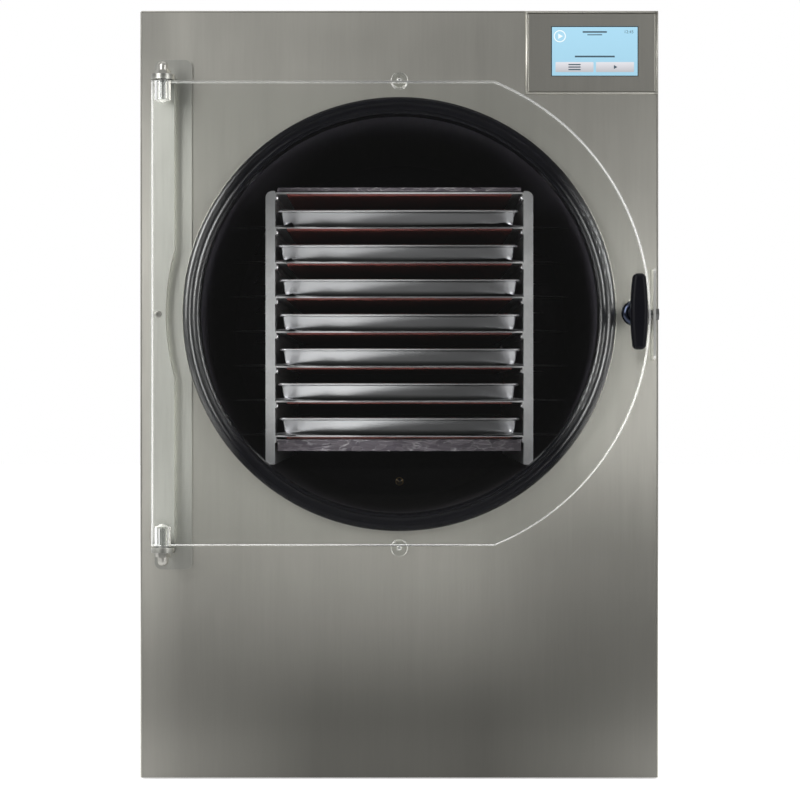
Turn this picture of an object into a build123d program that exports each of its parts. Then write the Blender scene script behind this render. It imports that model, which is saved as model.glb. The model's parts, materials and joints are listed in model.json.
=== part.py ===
"""Front-loading freeze dryer: steel cabinet, round vacuum chamber with a heated tray rack, clear door.

Millimetres. +X is the viewer's right, +Y runs into the machine, +Z is up. The origin is on the floor,
at the centre of the whole footprint. A "depth" is measured from the cabinet's front face into the
machine, so whatever stands in front of that face has a negative depth.
"""
from build123d import *
from math import cos, pi, radians, sin, sqrt
import os

# Sheet-metal cabinet, folded round the chamber's foam and the machine room under it
SIDE_ROOM = 16.5
HEAD_ROOM = 70.0
SERVICE_ROOM = 83.7
SHEET = 1.5
SHEET_BEND_R = 2.5
PANEL_FLANGE = 18.0
PANEL_GAP = 0.4
SKIRT_LIFT = 2.0
PAN_LIFT = 10.0
PAN_WALL = 22.0
FOOT_R = 20.0
FOOT_INSET = 60.0

# Side vents, low down at the back
VENT_W = 120.0
VENT_H = 5.0
VENT_PITCH = 15.0
VENT_COUNT = 8
VENT_BACK = 172.0
VENT_Z = 150.0

# Control fascia and touch screen, top right
FASCIA_W = 155.0
FASCIA_H = 96.5
FASCIA_GAP = 0.8
SCREEN_W = 103.0
SCREEN_H = 59.0
SCREEN_FIT = 0.3
SCREEN_DROP = 48.0
SCREEN_INSET = 75.5
SCREEN_RECESS = 0.5
DISPLAY_FRAME = 7.0
DISPLAY_T = 9.0
BOARD_T = 1.6
BOARD_W = 118.0
BOARD_H = 68.0
STANDOFF_L = 12.0
STANDOFF_R = 3.0
RELAY_W = 18.0
RELAY_H = 14.0
RELAY_L = 15.0
CAPACITOR_R = 6.0
CAPACITOR_L = 20.0
PART_GAP = 4.0

# Vacuum chamber, rolled round the tray rack
CHAMBER_WALL = 3.0
CHAMBER_END_ROOM = 30.0
CHAMBER_KNUCKLE_R = 30.0
CHAMBER_RIM = 14.0
CHAMBER_RING_W = 36.0
OPENING_GAP = 0.5

# Evaporator tube and foam round the chamber
EVAPORATOR_D = 9.5
EVAPORATOR_PITCH = 66.0
EVAPORATOR_TURNS = 7
EVAPORATOR_START = 70.0
FOAM_T = 44.0
FOAM_BACK = 35.0
CRADLE_SHEET = 3.0
CRADLE_UNDER = 24.0
CRADLE_DIP = 110.0
CRADLE_RIB_INSET = 55.0
CRADLE_FRONT_RIB = 150.0
CRADLE_BACK_RIB = 520.0
CRADLE_FLANGE = 25.0

# Door gasket
GASKET_W = 10.0
GASKET_LIP = 7.5
GASKET_TAIL = 8.0
GASKET_VALLEY = 2.5
GASKET_ROUND = 7.0

# Tray rack
SHELVES = 8
SHELF_PITCH = 42.3
SHELF_T = 2.0
SHELF_SIDE = 9.0
RACK_FRONT = 70.0
RACK_RISE = 3.7
RACK_LEG = 35.467
RACK_SHEET = 1.5
RACK_FLANGE = 10.0
RACK_FLANGE_R = 8.0
RACK_TOP = 1.5
RIVET_R = 2.9
RIVET_HEAD = 3.2
RIVET_DROP = 6.3
RIVET_INSET = 10.0
MAT_SIDE = 14.5
MAT_T = 1.8
MAT_INSET = 3.0
FOIL_T = 7.0
FOIL_BOTTOM_T = 16.5

# Trays: the rim is the widest part, and the walls lean in to the floor
TRAY_W = 294.0
TRAY_L = 520.0
TRAY_SIDE_ROOM = 4.5
TRAY_END_ROOM = 20.0
TRAY_H = 21.5
TRAY_RIM = 5.0
TRAY_RIM_H = 3.5
TRAY_LEAN = 7.0
TRAY_WALL = 1.0
TRAY_CORNER_R = 18.0
TRAY_FOOT_R = 5.0
TRAY_SHIFTS = ((-1.5, 5.0), (-2.0, 7.0), (0.5, 4.0), (0.0, 8.0), (1.0, 5.0), (-1.0, 6.0), (0.0, 9.0))

# Clear door
DOOR_GAP = 21.0
DOOR_T = 25.4
DOOR_HINGE_MARGIN = 34.0
DOOR_END_MARGIN = 16.0
DOOR_ARC_MARGIN = 38.0
DOOR_CHAMFER = 1.0
SEAL_GAP = 0.3

# Hinge
HINGE_PLATE_W = 45.0
HINGE_PLATE_T = 2.0
HINGE_PLATE_OVER = 22.5
HINGE_PLATE_R = 9.0
HINGE_PLATE_MARGIN = 1.4
HINGE_BAR_W = 24.3
HINGE_BAR_T = 13.0
HINGE_RELIEF = 19.4
EAR_T = 6.0
EAR_R = 14.0
EAR_GAP = 2.3
PIN_R = 5.0
PIN_REACH = 20.0
PIN_COLLAR_R = 9.0
PIN_THREAD_R = 4.0
PIN_THREAD_L = 9.0
NUT_FLANGE_R = 9.0
NUT_FLANGE_T = 5.3
NUT_DOME_R = 6.2
NUT_DOME_H = 15.9
NUT_DOME_ROUND = 5.6
BUSH_R = 9.5
BUSH_L = 22.0
BUSH_FLOOR = 1.5
RUNNING_FIT = 0.05
SEAT_FIT = 0.02
DRILL_POINT = 4.0

# Latch: T-handle, shaft and pawl on the door
LATCH_MARGIN = 18.5
SHAFT_R = 6.0
HUB_R = 11.0
ROSETTE_R = 15.3
ROSETTE_T = 9.5
ROSETTE_RIM_T = 3.3
ROSETTE_CROWN_R = 9.5
HANDLE_STAND = 58.6
HANDLE_T = 19.0
HANDLE_L = 87.0
HANDLE_MID_W = 19.5
HANDLE_END_W = 13.5
HANDLE_CORNER_R = 5.5
HANDLE_EDGE_R = 5.0
STEM_R = 8.5
STEM_GAP = 0.6
PAWL_T = 4.0
PAWL_CLEAR = 3.0
PAWL_R = 7.0
PAWL_TIP_R = 6.0
PAWL_REACH = 17.5
PAWL_RAMP = 1.5
NECK = 8.0
NECK_FIT = 0.05
NECK_HEAD_T = 1.4

# Strike on the front panel
STRIKE_DOOR_GAP = 5.3
STRIKE_T = 3.0
STRIKE_H = 107.0
STRIKE_REACH = 26.0
STRIKE_FOOT = 17.0
STRIKE_SLOT_GAP = 0.5
ROLLER_R = 6.0
ROLLER_W = 9.0
ROLLER_GAP = 0.3
ROLLER_SIDE_GAP = 0.3
BOLT_R = 4.0
BOLT_SHOULDER_R = 5.5
BOLT_COLLAR_T = 1.2
BOLT_HEAD_R = 7.5
BOLT_HEAD_T = 4.5
BUMPER_R = 10.0
BUMPER_MARGIN = 20.0
BUMPER_SCREW_R = 4.0
BUMPER_SCREW_DEPTH = 3.0
BUMPER_ROUND = 1.5

# Refrigeration and fan, under the chamber
COMPRESSOR_SIDE = 158.0
COMPRESSOR_BACK = 202.0
COMPRESSOR_W = 226.0
COMPRESSOR_L = 172.0
COMPRESSOR_H = 190.0
COMPRESSOR_LIFT = 14.0
COMPRESSOR_HEAD_ROOM = 23.0
SEAM_RIM = 4.0
FOOT_PLATE_T = 4.0
GROMMET_INSET = 16.0
GROMMET_R = 11.0
TERMINAL_BOX = 26.0
FAN_SIDE = 198.0
CONDENSER_W = 250.0
CONDENSER_H = 200.0
CONDENSER_T = 50.0
CONDENSER_GAP = 1.0
FIN_PITCH = 10.0
FIN_SLOT = 3.0
FIN_CUT = 12.0
END_PLATE = 2.0
RETURN_BENDS = 4
SHROUD_R = 88.0
SHROUD_COLLAR = 30.0
ARM_W = 10.0
ARMS = 4
MOTOR_R = 32.0
MOTOR_L = 45.0
MOTOR_SHAFT_R = 4.0
MOTOR_SHAFT_L = 22.0
ROTOR_HUB_R = 24.0
ROTOR_HUB_L = 18.0
ROTOR_STAND = 4.0
ROTOR_TIP_GAP = 5.0
BLADES = 5
BLADE_T = 1.8
BLADE_ROOT_W = 24.0
BLADE_TIP_W = 40.0
BLADE_ROOT_ANGLE = 38.0
BLADE_TIP_ANGLE = 22.0
BLADE_SINK = 2.0
GRILLE_W = 220.0
GRILLE_H = 7.0
GRILLE_PITCH = 14.0
GRILLE_COUNT = 12

# Connections on the rear panel
VACUUM_X = -150.0
VACUUM_OFFSET = 60.0
VACUUM_R = 12.5
VACUUM_WALL = 2.0
VACUUM_REACH = 45.0
VACUUM_NUT_R = 22.0
VACUUM_NUT_T = 8.0
DRAIN_RISE = 21.0
DRAIN_R = 6.0
DRAIN_WALL = 1.0
DRAIN_REACH = 60.0
VALVE_R = 11.0
VALVE_L = 24.0
VALVE_STEM_H = 8.0
LEVER_L = 46.0
LEVER_W = 12.0
LEVER_T = 3.0
LEVER_SEAT_R = 3.0
HOLE_GAP = 1.0
POWER_SIDE = 103.0
POWER_DROP = 54.0
POWER_PITCH = 45.0
SOCKET_W = 36.0
SOCKET_H = 28.0
SOCKET_BEZEL = 5.0
SOCKET_BEZEL_T = 2.5
SOCKET_L = 26.0
INLET_CAVITY_W = 26.0
INLET_CAVITY_H = 19.0
INLET_CAVITY_L = 20.0
CONTACT_X = 7.0
CONTACT_Z = 3.0
CONTACT_W = 2.0
CONTACT_H = 6.0
CONTACT_L = 13.0
SLOT_X = 6.35
SLOT_Z = 3.0
SLOT_H = 8.0
EARTH_R = 2.4
EARTH_DROP = 8.0
ROCKER_W = 26.0
ROCKER_H = 18.0
ROCKER_T = 9.0
ROCKER_TILT = 9.0
ROCKER_DISH = 2.0
ROCKER_GAP = 0.5
ROCKER_AXLE_R = 2.0

# Tray rack, from the trays
RACK_W = TRAY_W + 2 * TRAY_SIDE_ROOM
RACK_LENGTH = TRAY_L + TRAY_END_ROOM
RACK_HALF_W = RACK_W / 2 + RACK_SHEET + RACK_FLANGE
MAT_W = RACK_W - 2 * MAT_SIDE
SHELF_TOP = (SHELVES - 1) * SHELF_PITCH / 2 + RACK_RISE
RACK_FOOT = (SHELVES - 1) * SHELF_PITCH - SHELF_TOP + RACK_LEG

# Chamber, foam and gasket, from the rack's flanges, which stand on the drum
CHAMBER_R = sqrt(RACK_HALF_W ** 2 + RACK_FOOT ** 2) + SEAL_GAP
CHAMBER_OUT_R = CHAMBER_R + CHAMBER_WALL
CHAMBER_DEPTH = RACK_FRONT + RACK_LENGTH + CHAMBER_END_ROOM
CHAMBER_RING_R = CHAMBER_OUT_R + CHAMBER_RING_W
FOAM_R = CHAMBER_OUT_R + FOAM_T
FOAM_END = CHAMBER_DEPTH + CHAMBER_WALL + SEAL_GAP + FOAM_BACK
GASKET_R = CHAMBER_OUT_R + GASKET_W
DRAIN_DROP = CHAMBER_R - DRAIN_RISE

# Heights: base pan, machine room, cradle, chamber
PAN_TOP = PAN_LIFT + SHEET
MACHINE_ROOM = COMPRESSOR_LIFT + COMPRESSOR_H + COMPRESSOR_HEAD_ROOM
CRADLE_DROP = FOAM_R + CRADLE_UNDER
CRADLE_HORN = FOAM_R - CRADLE_DIP
CRADLE_RIB_W = 2 * (FOAM_R - CRADLE_RIB_INSET)
CHAMBER_Z = PAN_TOP + MACHINE_ROOM + CRADLE_DROP

# Cabinet, from the foam
INSIDE_W = 2 * (FOAM_R + SIDE_ROOM)
CABINET_W = INSIDE_W + 2 * SHEET
CABINET_H = CHAMBER_Z + FOAM_R + HEAD_ROOM + SHEET
CABINET_D = FOAM_END + SERVICE_ROOM
PANEL_W = INSIDE_W - 2 * PANEL_GAP
PANEL_TOP = CABINET_H - SHEET - PANEL_GAP

# Door, hinge, latch and strike, from the gasket
DOOR_LEFT = GASKET_R + DOOR_HINGE_MARGIN
DOOR_HALF_H = GASKET_R + DOOR_END_MARGIN
DOOR_ARC_R = GASKET_R + DOOR_ARC_MARGIN
DOOR_FACE = -DOOR_GAP - DOOR_T
HINGE_X = DOOR_T / 2 - DOOR_LEFT
HINGE_DEPTH = -DOOR_GAP - DOOR_T / 2
LATCH_X = GASKET_R + LATCH_MARGIN
HANDLE_DEPTH = DOOR_FACE - HANDLE_STAND + HANDLE_T
STRIKE_X = DOOR_ARC_R + STRIKE_DOOR_GAP
ROLLER_DEPTH = -PAWL_CLEAR - PAWL_T - ROLLER_GAP - ROLLER_R
BUMPER_OFFSET = GASKET_R + BUMPER_MARGIN

# The whole footprint, from the handle's tip to the drain's end
FRONT_REACH = DOOR_GAP + DOOR_T + HANDLE_STAND
FRONT_Y = (FRONT_REACH - CABINET_D - DRAIN_REACH) / 2

# Machine room, vents and connections, from the cabinet's sides, back and top
COMPRESSOR_X = COMPRESSOR_SIDE - CABINET_W / 2
COMPRESSOR_DEPTH = CABINET_D - COMPRESSOR_BACK
FAN_X = CABINET_W / 2 - FAN_SIDE
FAN_Z = PAN_TOP + CONDENSER_H / 2
CONDENSER_BACK = CABINET_D - PANEL_FLANGE - PANEL_GAP - SHEET - CONDENSER_GAP
CONDENSER_FRONT = CONDENSER_BACK - CONDENSER_T
MOTOR_FACE = CONDENSER_FRONT - SHEET - SHROUD_COLLAR
VENT_DEPTH = CABINET_D - VENT_BACK
POWER_X = CABINET_W / 2 - POWER_SIDE
SWITCH_Z = CABINET_H - POWER_DROP
OUTLET_Z = SWITCH_Z - POWER_PITCH
INLET_Z = OUTLET_Z - POWER_PITCH

ARC_CORNER = 1 - cos(pi / 4)

os.makedirs("parts", exist_ok=True)


def face_plane(depth):
    """Plane at a depth, seen from the front: its own axes are the machine's X and Z."""
    return Plane(origin=(0, FRONT_Y + depth, 0), x_dir=(1, 0, 0), z_dir=(0, -1, 0))


def chamber_plane(depth):
    """The same plane with its origin on the chamber's axis."""
    return Plane(origin=(0, FRONT_Y + depth, CHAMBER_Z), x_dir=(1, 0, 0), z_dir=(0, -1, 0))


def axis_section(x, z):
    """Plane through an axis that runs into the machine: its own axes are radius and depth."""
    return Plane(origin=(x, FRONT_Y, z), x_dir=(1, 0, 0), z_dir=(0, 0, 1))


def depth_axis(x, z):
    """Axis that runs into the machine."""
    return Axis((x, FRONT_Y, z), (0, 1, 0))


def hinge_plane(height):
    """Level plane with its origin on the hinge's axis, at a height from the chamber's axis."""
    return Plane(origin=(HINGE_X, FRONT_Y + HINGE_DEPTH, CHAMBER_Z + height))


def side_plane(x):
    """Upright plane seen from the right: its own axes are depth and the height from the chamber's axis."""
    return Plane(origin=(x, FRONT_Y, CHAMBER_Z), x_dir=(0, 1, 0), z_dir=(1, 0, 0))


def save(piece, name):
    """Label a finished piece and write it."""
    piece.part.label = name
    export_step(piece.part, f"parts/{name}.step")


# ---------------------------------------------------------------- cabinet

def make_cabinet_wrap():
    """One folded sheet: left side, top and right side, with vents low down at the back."""
    with BuildPart() as cabinet_wrap:
        with BuildSketch(face_plane(0)) as outline:
            with Locations((0, SKIRT_LIFT)):
                Rectangle(CABINET_W, CABINET_H - SKIRT_LIFT, align=(Align.CENTER, Align.MIN))
            fillet(outline.vertices().group_by(Axis.Y)[-1], SHEET_BEND_R)
            with Locations((0, SKIRT_LIFT)):
                Rectangle(INSIDE_W, CABINET_H - SHEET - SKIRT_LIFT, align=(Align.CENTER, Align.MIN),
                          mode=Mode.SUBTRACT)
        extrude(amount=-CABINET_D)
        with BuildSketch(Plane(origin=(0, FRONT_Y + VENT_DEPTH, VENT_Z), x_dir=(0, 1, 0), z_dir=(1, 0, 0))):
            with GridLocations(0, VENT_PITCH, 1, VENT_COUNT):
                Rectangle(VENT_W, VENT_H)
        extrude(amount=CABINET_W, both=True, mode=Mode.SUBTRACT)
    save(cabinet_wrap, "cabinet_wrap")


def panel_outline(notch_w, notch_h):
    """Outline of a flat panel between the cabinet's sides, with a notch at its top right corner."""
    height = PANEL_TOP - SKIRT_LIFT
    with Locations((0, SKIRT_LIFT)):
        Rectangle(PANEL_W, height, align=(Align.CENTER, Align.MIN))
    if notch_w > 0:
        with Locations((PANEL_W / 2, PANEL_TOP)):
            Rectangle(notch_w, notch_h, align=(Align.MAX, Align.MAX), mode=Mode.SUBTRACT)


def make_front_panel():
    """Folded front panel with the chamber's opening, the strike's slot and the fascia's notch."""
    with BuildPart() as front_panel:
        with BuildSketch(face_plane(0)):
            panel_outline(FASCIA_W, FASCIA_H)
        extrude(amount=-PANEL_FLANGE)
        with BuildSketch(face_plane(SHEET)):
            panel_outline(FASCIA_W, FASCIA_H)
            offset(amount=-SHEET, kind=Kind.INTERSECTION, mode=Mode.REPLACE)
        extrude(amount=-PANEL_FLANGE, mode=Mode.SUBTRACT)
        with BuildSketch(chamber_plane(0)):
            Circle(CHAMBER_OUT_R + OPENING_GAP)
            with Locations((STRIKE_X + STRIKE_T / 2, 0)):
                Rectangle(STRIKE_T + 2 * STRIKE_SLOT_GAP, STRIKE_H + 2 * STRIKE_SLOT_GAP)
        extrude(amount=-SHEET, mode=Mode.SUBTRACT)
    save(front_panel, "front_panel")


def fascia_centre():
    """Centre of the control fascia on the cabinet's face."""
    return (PANEL_W / 2 - (FASCIA_W - FASCIA_GAP) / 2, PANEL_TOP - (FASCIA_H - FASCIA_GAP) / 2)


def screen_centre():
    """Centre of the touch screen on the cabinet's face."""
    return (CABINET_W / 2 - SCREEN_INSET, CABINET_H - SCREEN_DROP)


def make_control_fascia():
    """Folded plate that fills the front panel's notch and frames the touch screen."""
    fascia_w = FASCIA_W - FASCIA_GAP
    fascia_h = FASCIA_H - FASCIA_GAP
    with BuildPart() as control_fascia:
        with BuildSketch(face_plane(0)):
            with Locations(fascia_centre()):
                Rectangle(fascia_w, fascia_h)
        extrude(amount=-PANEL_FLANGE)
        fillet(control_fascia.faces().sort_by(Axis.Y)[0].edges(), SHEET_BEND_R)
        with BuildSketch(face_plane(SHEET)):
            with Locations(fascia_centre()):
                Rectangle(fascia_w - 2 * SHEET, fascia_h - 2 * SHEET)
        extrude(amount=-PANEL_FLANGE, mode=Mode.SUBTRACT)
        with BuildSketch(face_plane(0)):
            with Locations(screen_centre()):
                Rectangle(SCREEN_W + 2 * SCREEN_FIT, SCREEN_H + 2 * SCREEN_FIT)
        extrude(amount=-SHEET, mode=Mode.SUBTRACT)
    save(control_fascia, "control_fascia")


def make_touchscreen():
    """Display module: its glass fills the fascia's window, its wider body sits behind the sheet."""
    with BuildPart() as touchscreen:
        with BuildSketch(face_plane(SHEET)):
            with Locations(screen_centre()):
                Rectangle(SCREEN_W + 2 * DISPLAY_FRAME, SCREEN_H + 2 * DISPLAY_FRAME)
        extrude(amount=-DISPLAY_T)
        with BuildSketch(face_plane(SHEET)):
            with Locations(screen_centre()):
                Rectangle(SCREEN_W, SCREEN_H)
        extrude(amount=SHEET - SCREEN_RECESS)
    save(touchscreen, "touchscreen")


def make_control_board():
    """Circuit board on four standoffs behind the display, with relays and capacitors."""
    board_depth = SHEET + DISPLAY_T + STANDOFF_L
    back = board_depth + BOARD_T
    with BuildPart() as control_board:
        with BuildSketch(face_plane(board_depth)):
            with Locations(screen_centre()):
                Rectangle(BOARD_W, BOARD_H)
        extrude(amount=-BOARD_T)
        with BuildSketch(face_plane(board_depth)):
            with Locations(screen_centre()):
                with GridLocations(SCREEN_W, SCREEN_H, 2, 2):
                    Circle(STANDOFF_R)
        extrude(amount=STANDOFF_L)
        with BuildSketch(face_plane(back)):
            with Locations(screen_centre()):
                with Locations((-BOARD_W / 4, BOARD_H / 4)):
                    with GridLocations(RELAY_W + PART_GAP, 0, 2, 1):
                        Rectangle(RELAY_W, RELAY_H)
        extrude(amount=-RELAY_L)
        with BuildSketch(face_plane(back)):
            with Locations(screen_centre()):
                with Locations((BOARD_W / 4, -BOARD_H / 5)):
                    with GridLocations(2 * CAPACITOR_R + PART_GAP, 0, 2, 1):
                        Circle(CAPACITOR_R)
        extrude(amount=-CAPACITOR_L)
    save(control_board, "control_board")


def socket_cut():
    """Cut-outs in the rear panel for the power switch, the outlet and the inlet."""
    for height in (SWITCH_Z, OUTLET_Z, INLET_Z):
        with Locations((POWER_X, height)):
            Rectangle(SOCKET_W + 2 * SCREEN_FIT, SOCKET_H + 2 * SCREEN_FIT)


def make_rear_panel():
    """Folded rear panel with the condenser's grille and the holes for what passes through it."""
    with BuildPart() as rear_panel:
        with BuildSketch(face_plane(CABINET_D)):
            panel_outline(0, 0)
        extrude(amount=PANEL_FLANGE)
        with BuildSketch(face_plane(CABINET_D - SHEET)):
            panel_outline(0, 0)
            offset(amount=-SHEET, kind=Kind.INTERSECTION, mode=Mode.REPLACE)
        extrude(amount=PANEL_FLANGE, mode=Mode.SUBTRACT)
        with BuildSketch(face_plane(CABINET_D)):
            with Locations((FAN_X, FAN_Z)):
                with GridLocations(0, GRILLE_PITCH, 1, GRILLE_COUNT):
                    Rectangle(GRILLE_W, GRILLE_H)
            with Locations((VACUUM_X, CHAMBER_Z + VACUUM_OFFSET)):
                Circle(VACUUM_R + HOLE_GAP)
            with Locations((0, CHAMBER_Z - DRAIN_DROP)):
                Circle(DRAIN_R + HOLE_GAP)
            socket_cut()
        extrude(amount=SHEET, mode=Mode.SUBTRACT)
    save(rear_panel, "rear_panel")


def make_base_pan():
    """Tray-shaped floor of the cabinet."""
    pan_front = PANEL_FLANGE + PANEL_GAP
    pan_length = CABINET_D - PANEL_FLANGE - PANEL_GAP - pan_front
    centre_y = FRONT_Y + CABINET_D / 2
    with BuildPart() as base_pan:
        with BuildSketch(Plane(origin=(0, centre_y, PAN_LIFT))):
            Rectangle(PANEL_W, pan_length)
        extrude(amount=PAN_WALL)
        with BuildSketch(Plane(origin=(0, centre_y, PAN_TOP))):
            Rectangle(PANEL_W - 2 * SHEET, pan_length - 2 * SHEET)
        extrude(amount=PAN_WALL, mode=Mode.SUBTRACT)
    save(base_pan, "base_pan")


def make_feet():
    """Four rubber feet under the base pan."""
    with BuildPart() as feet:
        with BuildSketch(Plane(origin=(0, FRONT_Y + CABINET_D / 2, 0))):
            with GridLocations(CABINET_W - 2 * FOOT_INSET, CABINET_D - 2 * FOOT_INSET, 2, 2):
                Circle(FOOT_R)
        extrude(amount=PAN_LIFT)
    save(feet, "feet")


# ---------------------------------------------------------------- chamber

def make_vacuum_chamber():
    """Welded drum with a flat, knuckled back, and the ring that holds it to the front panel."""
    ring_t = CHAMBER_WALL
    knuckle = CHAMBER_DEPTH - CHAMBER_KNUCKLE_R
    slant = CHAMBER_KNUCKLE_R * ARC_CORNER
    out_slant = (CHAMBER_KNUCKLE_R + CHAMBER_WALL) * ARC_CORNER
    back = CHAMBER_DEPTH + CHAMBER_WALL
    with BuildPart() as vacuum_chamber:
        with BuildSketch(axis_section(0, CHAMBER_Z)):
            with BuildLine():
                Polyline((0, CHAMBER_DEPTH), (CHAMBER_R - CHAMBER_KNUCKLE_R, CHAMBER_DEPTH))
                ThreePointArc((CHAMBER_R - CHAMBER_KNUCKLE_R, CHAMBER_DEPTH),
                              (CHAMBER_R - slant, CHAMBER_DEPTH - slant), (CHAMBER_R, knuckle))
                Polyline((CHAMBER_R, knuckle), (CHAMBER_R, -CHAMBER_RIM), (CHAMBER_OUT_R, -CHAMBER_RIM),
                         (CHAMBER_OUT_R, SHEET), (CHAMBER_RING_R, SHEET), (CHAMBER_RING_R, SHEET + ring_t),
                         (CHAMBER_OUT_R, SHEET + ring_t), (CHAMBER_OUT_R, knuckle))
                ThreePointArc((CHAMBER_OUT_R, knuckle), (CHAMBER_OUT_R - out_slant, back - out_slant),
                              (CHAMBER_R - CHAMBER_KNUCKLE_R, back))
                Polyline((CHAMBER_R - CHAMBER_KNUCKLE_R, back), (0, back), (0, CHAMBER_DEPTH))
            make_face()
        revolve(axis=depth_axis(0, CHAMBER_Z))
        with BuildSketch(chamber_plane(CHAMBER_DEPTH)):
            with Locations((VACUUM_X, VACUUM_OFFSET)):
                Circle(VACUUM_R)
            with Locations((0, -DRAIN_DROP)):
                Circle(DRAIN_R)
        extrude(amount=2 * CHAMBER_WALL, both=True, mode=Mode.SUBTRACT)
    save(vacuum_chamber, "vacuum_chamber")


def make_evaporator_coil():
    """Refrigerant tube round the chamber: turns side by side, joined by a header along the top."""
    coil_r = CHAMBER_OUT_R + SEAL_GAP + EVAPORATOR_D / 2
    with BuildPart() as evaporator_coil:
        with BuildSketch(axis_section(0, CHAMBER_Z)):
            for turn in range(EVAPORATOR_TURNS):
                with Locations((coil_r, EVAPORATOR_START + turn * EVAPORATOR_PITCH)):
                    Circle(EVAPORATOR_D / 2)
        revolve(axis=depth_axis(0, CHAMBER_Z))
        with BuildSketch(chamber_plane(EVAPORATOR_START)):
            with Locations((0, coil_r)):
                Circle(EVAPORATOR_D / 2 - SEAL_GAP)
        extrude(amount=-(EVAPORATOR_TURNS - 1) * EVAPORATOR_PITCH)
    save(evaporator_coil, "evaporator_coil")


def make_chamber_insulation():
    """Foam jacket round the chamber and its tube, closed at the back."""
    inner = CHAMBER_OUT_R + EVAPORATOR_D + 2 * SEAL_GAP
    front = SHEET + CHAMBER_WALL
    cap = CHAMBER_DEPTH + CHAMBER_WALL + SEAL_GAP
    with BuildPart() as chamber_insulation:
        with BuildSketch(chamber_plane(front)):
            Circle(FOAM_R)
        extrude(amount=front - FOAM_END)
        with BuildSketch(chamber_plane(front)):
            Circle(inner)
        extrude(amount=front - cap, mode=Mode.SUBTRACT)
        with BuildSketch(chamber_plane(cap)):
            with Locations((VACUUM_X, VACUUM_OFFSET)):
                Circle(VACUUM_R + SEAL_GAP)
            with Locations((0, -DRAIN_DROP)):
                Circle(DRAIN_R + SEAL_GAP)
        extrude(amount=-FOAM_BACK, mode=Mode.SUBTRACT)
    save(chamber_insulation, "chamber_insulation")


def make_chamber_cradle():
    """Deck across the cabinet with two ribs cut to the foam's round."""
    deck_z = CHAMBER_Z - CRADLE_DROP
    deck_length = CRADLE_BACK_RIB + CRADLE_FRONT_RIB
    with BuildPart() as chamber_cradle:
        with BuildSketch(Plane(origin=(0, FRONT_Y + deck_length / 2, deck_z))):
            Rectangle(INSIDE_W, CRADLE_BACK_RIB)
        extrude(amount=-CRADLE_SHEET)
        with BuildSketch(Plane(origin=(0, FRONT_Y + deck_length / 2, deck_z))):
            with GridLocations(INSIDE_W - CRADLE_SHEET, 0, 2, 1):
                Rectangle(CRADLE_SHEET, CRADLE_BACK_RIB)
        extrude(amount=CRADLE_FLANGE)
        for depth in (CRADLE_FRONT_RIB, CRADLE_BACK_RIB):
            with BuildSketch(chamber_plane(depth)):
                with Locations((0, -CRADLE_DROP)):
                    Rectangle(CRADLE_RIB_W, CRADLE_DROP - CRADLE_HORN, align=(Align.CENTER, Align.MIN))
                Circle(FOAM_R + SEAL_GAP, mode=Mode.SUBTRACT)
            extrude(amount=CRADLE_SHEET)
    save(chamber_cradle, "chamber_cradle")


def make_door_gasket():
    """Rubber ring over the chamber's rim: two rounded lips with a shallow valley between them."""
    crest = SEAL_GAP - DOOR_GAP
    inner = CHAMBER_R - GASKET_LIP
    inner_round = GASKET_ROUND / 2
    outer_crest = GASKET_R - GASKET_ROUND
    inner_crest = inner + inner_round
    groove = -CHAMBER_RIM - SEAL_GAP
    outer_corner = GASKET_ROUND * ARC_CORNER
    inner_corner = inner_round * ARC_CORNER
    with BuildPart() as door_gasket:
        with BuildSketch(axis_section(0, CHAMBER_Z)):
            with BuildLine():
                Line((GASKET_R, 0), (GASKET_R, crest + GASKET_ROUND))
                ThreePointArc((GASKET_R, crest + GASKET_ROUND),
                              (GASKET_R - outer_corner, crest + outer_corner), (outer_crest, crest))
                ThreePointArc((outer_crest, crest), ((outer_crest + inner_crest) / 2, crest + GASKET_VALLEY),
                              (inner_crest, crest))
                ThreePointArc((inner_crest, crest), (inner + inner_corner, crest + inner_corner),
                              (inner, crest + inner_round))
                Polyline((inner, crest + inner_round), (inner, GASKET_TAIL), (CHAMBER_R, GASKET_TAIL),
                         (CHAMBER_R, groove), (CHAMBER_OUT_R, groove), (CHAMBER_OUT_R, 0), (GASKET_R, 0))
            make_face()
        revolve(axis=depth_axis(0, CHAMBER_Z))
    save(door_gasket, "door_gasket")


# ---------------------------------------------------------------- tray rack

def shelf_height(index):
    """Top of a shelf above the chamber's axis. Shelf 0 is the highest."""
    return SHELF_TOP - index * SHELF_PITCH


def make_rack_side(side, name):
    """One side plate: a sheet with flanges turned outwards at its front and back edges."""
    height = SHELF_TOP + RACK_TOP + RACK_FOOT
    middle = (SHELF_TOP + RACK_TOP - RACK_FOOT) / 2
    flange_w = RACK_SHEET + RACK_FLANGE
    flange_x = side * (RACK_W + flange_w) / 2
    with BuildPart() as rack_side:
        with BuildSketch(side_plane(side * RACK_W / 2)):
            with Locations((RACK_FRONT + RACK_LENGTH / 2, middle)):
                Rectangle(RACK_LENGTH, height)
        extrude(amount=side * RACK_SHEET)
        for depth in (RACK_FRONT, RACK_FRONT + RACK_LENGTH - RACK_SHEET):
            with BuildSketch(chamber_plane(depth)) as flange:
                with Locations((flange_x, middle)):
                    Rectangle(flange_w, height)
                corners = flange.vertices().group_by(Axis.Y)[-1]
                fillet(corners.sort_by(Axis.X)[-1 if side > 0 else 0], RACK_FLANGE_R)
            extrude(amount=-RACK_SHEET)
        with BuildSketch(side_plane(side * RACK_W / 2)):
            with Locations(*rivet_points()):
                Circle(RIVET_R / 2)
        extrude(amount=side * RACK_SHEET, mode=Mode.SUBTRACT)
    save(rack_side, name)


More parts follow.
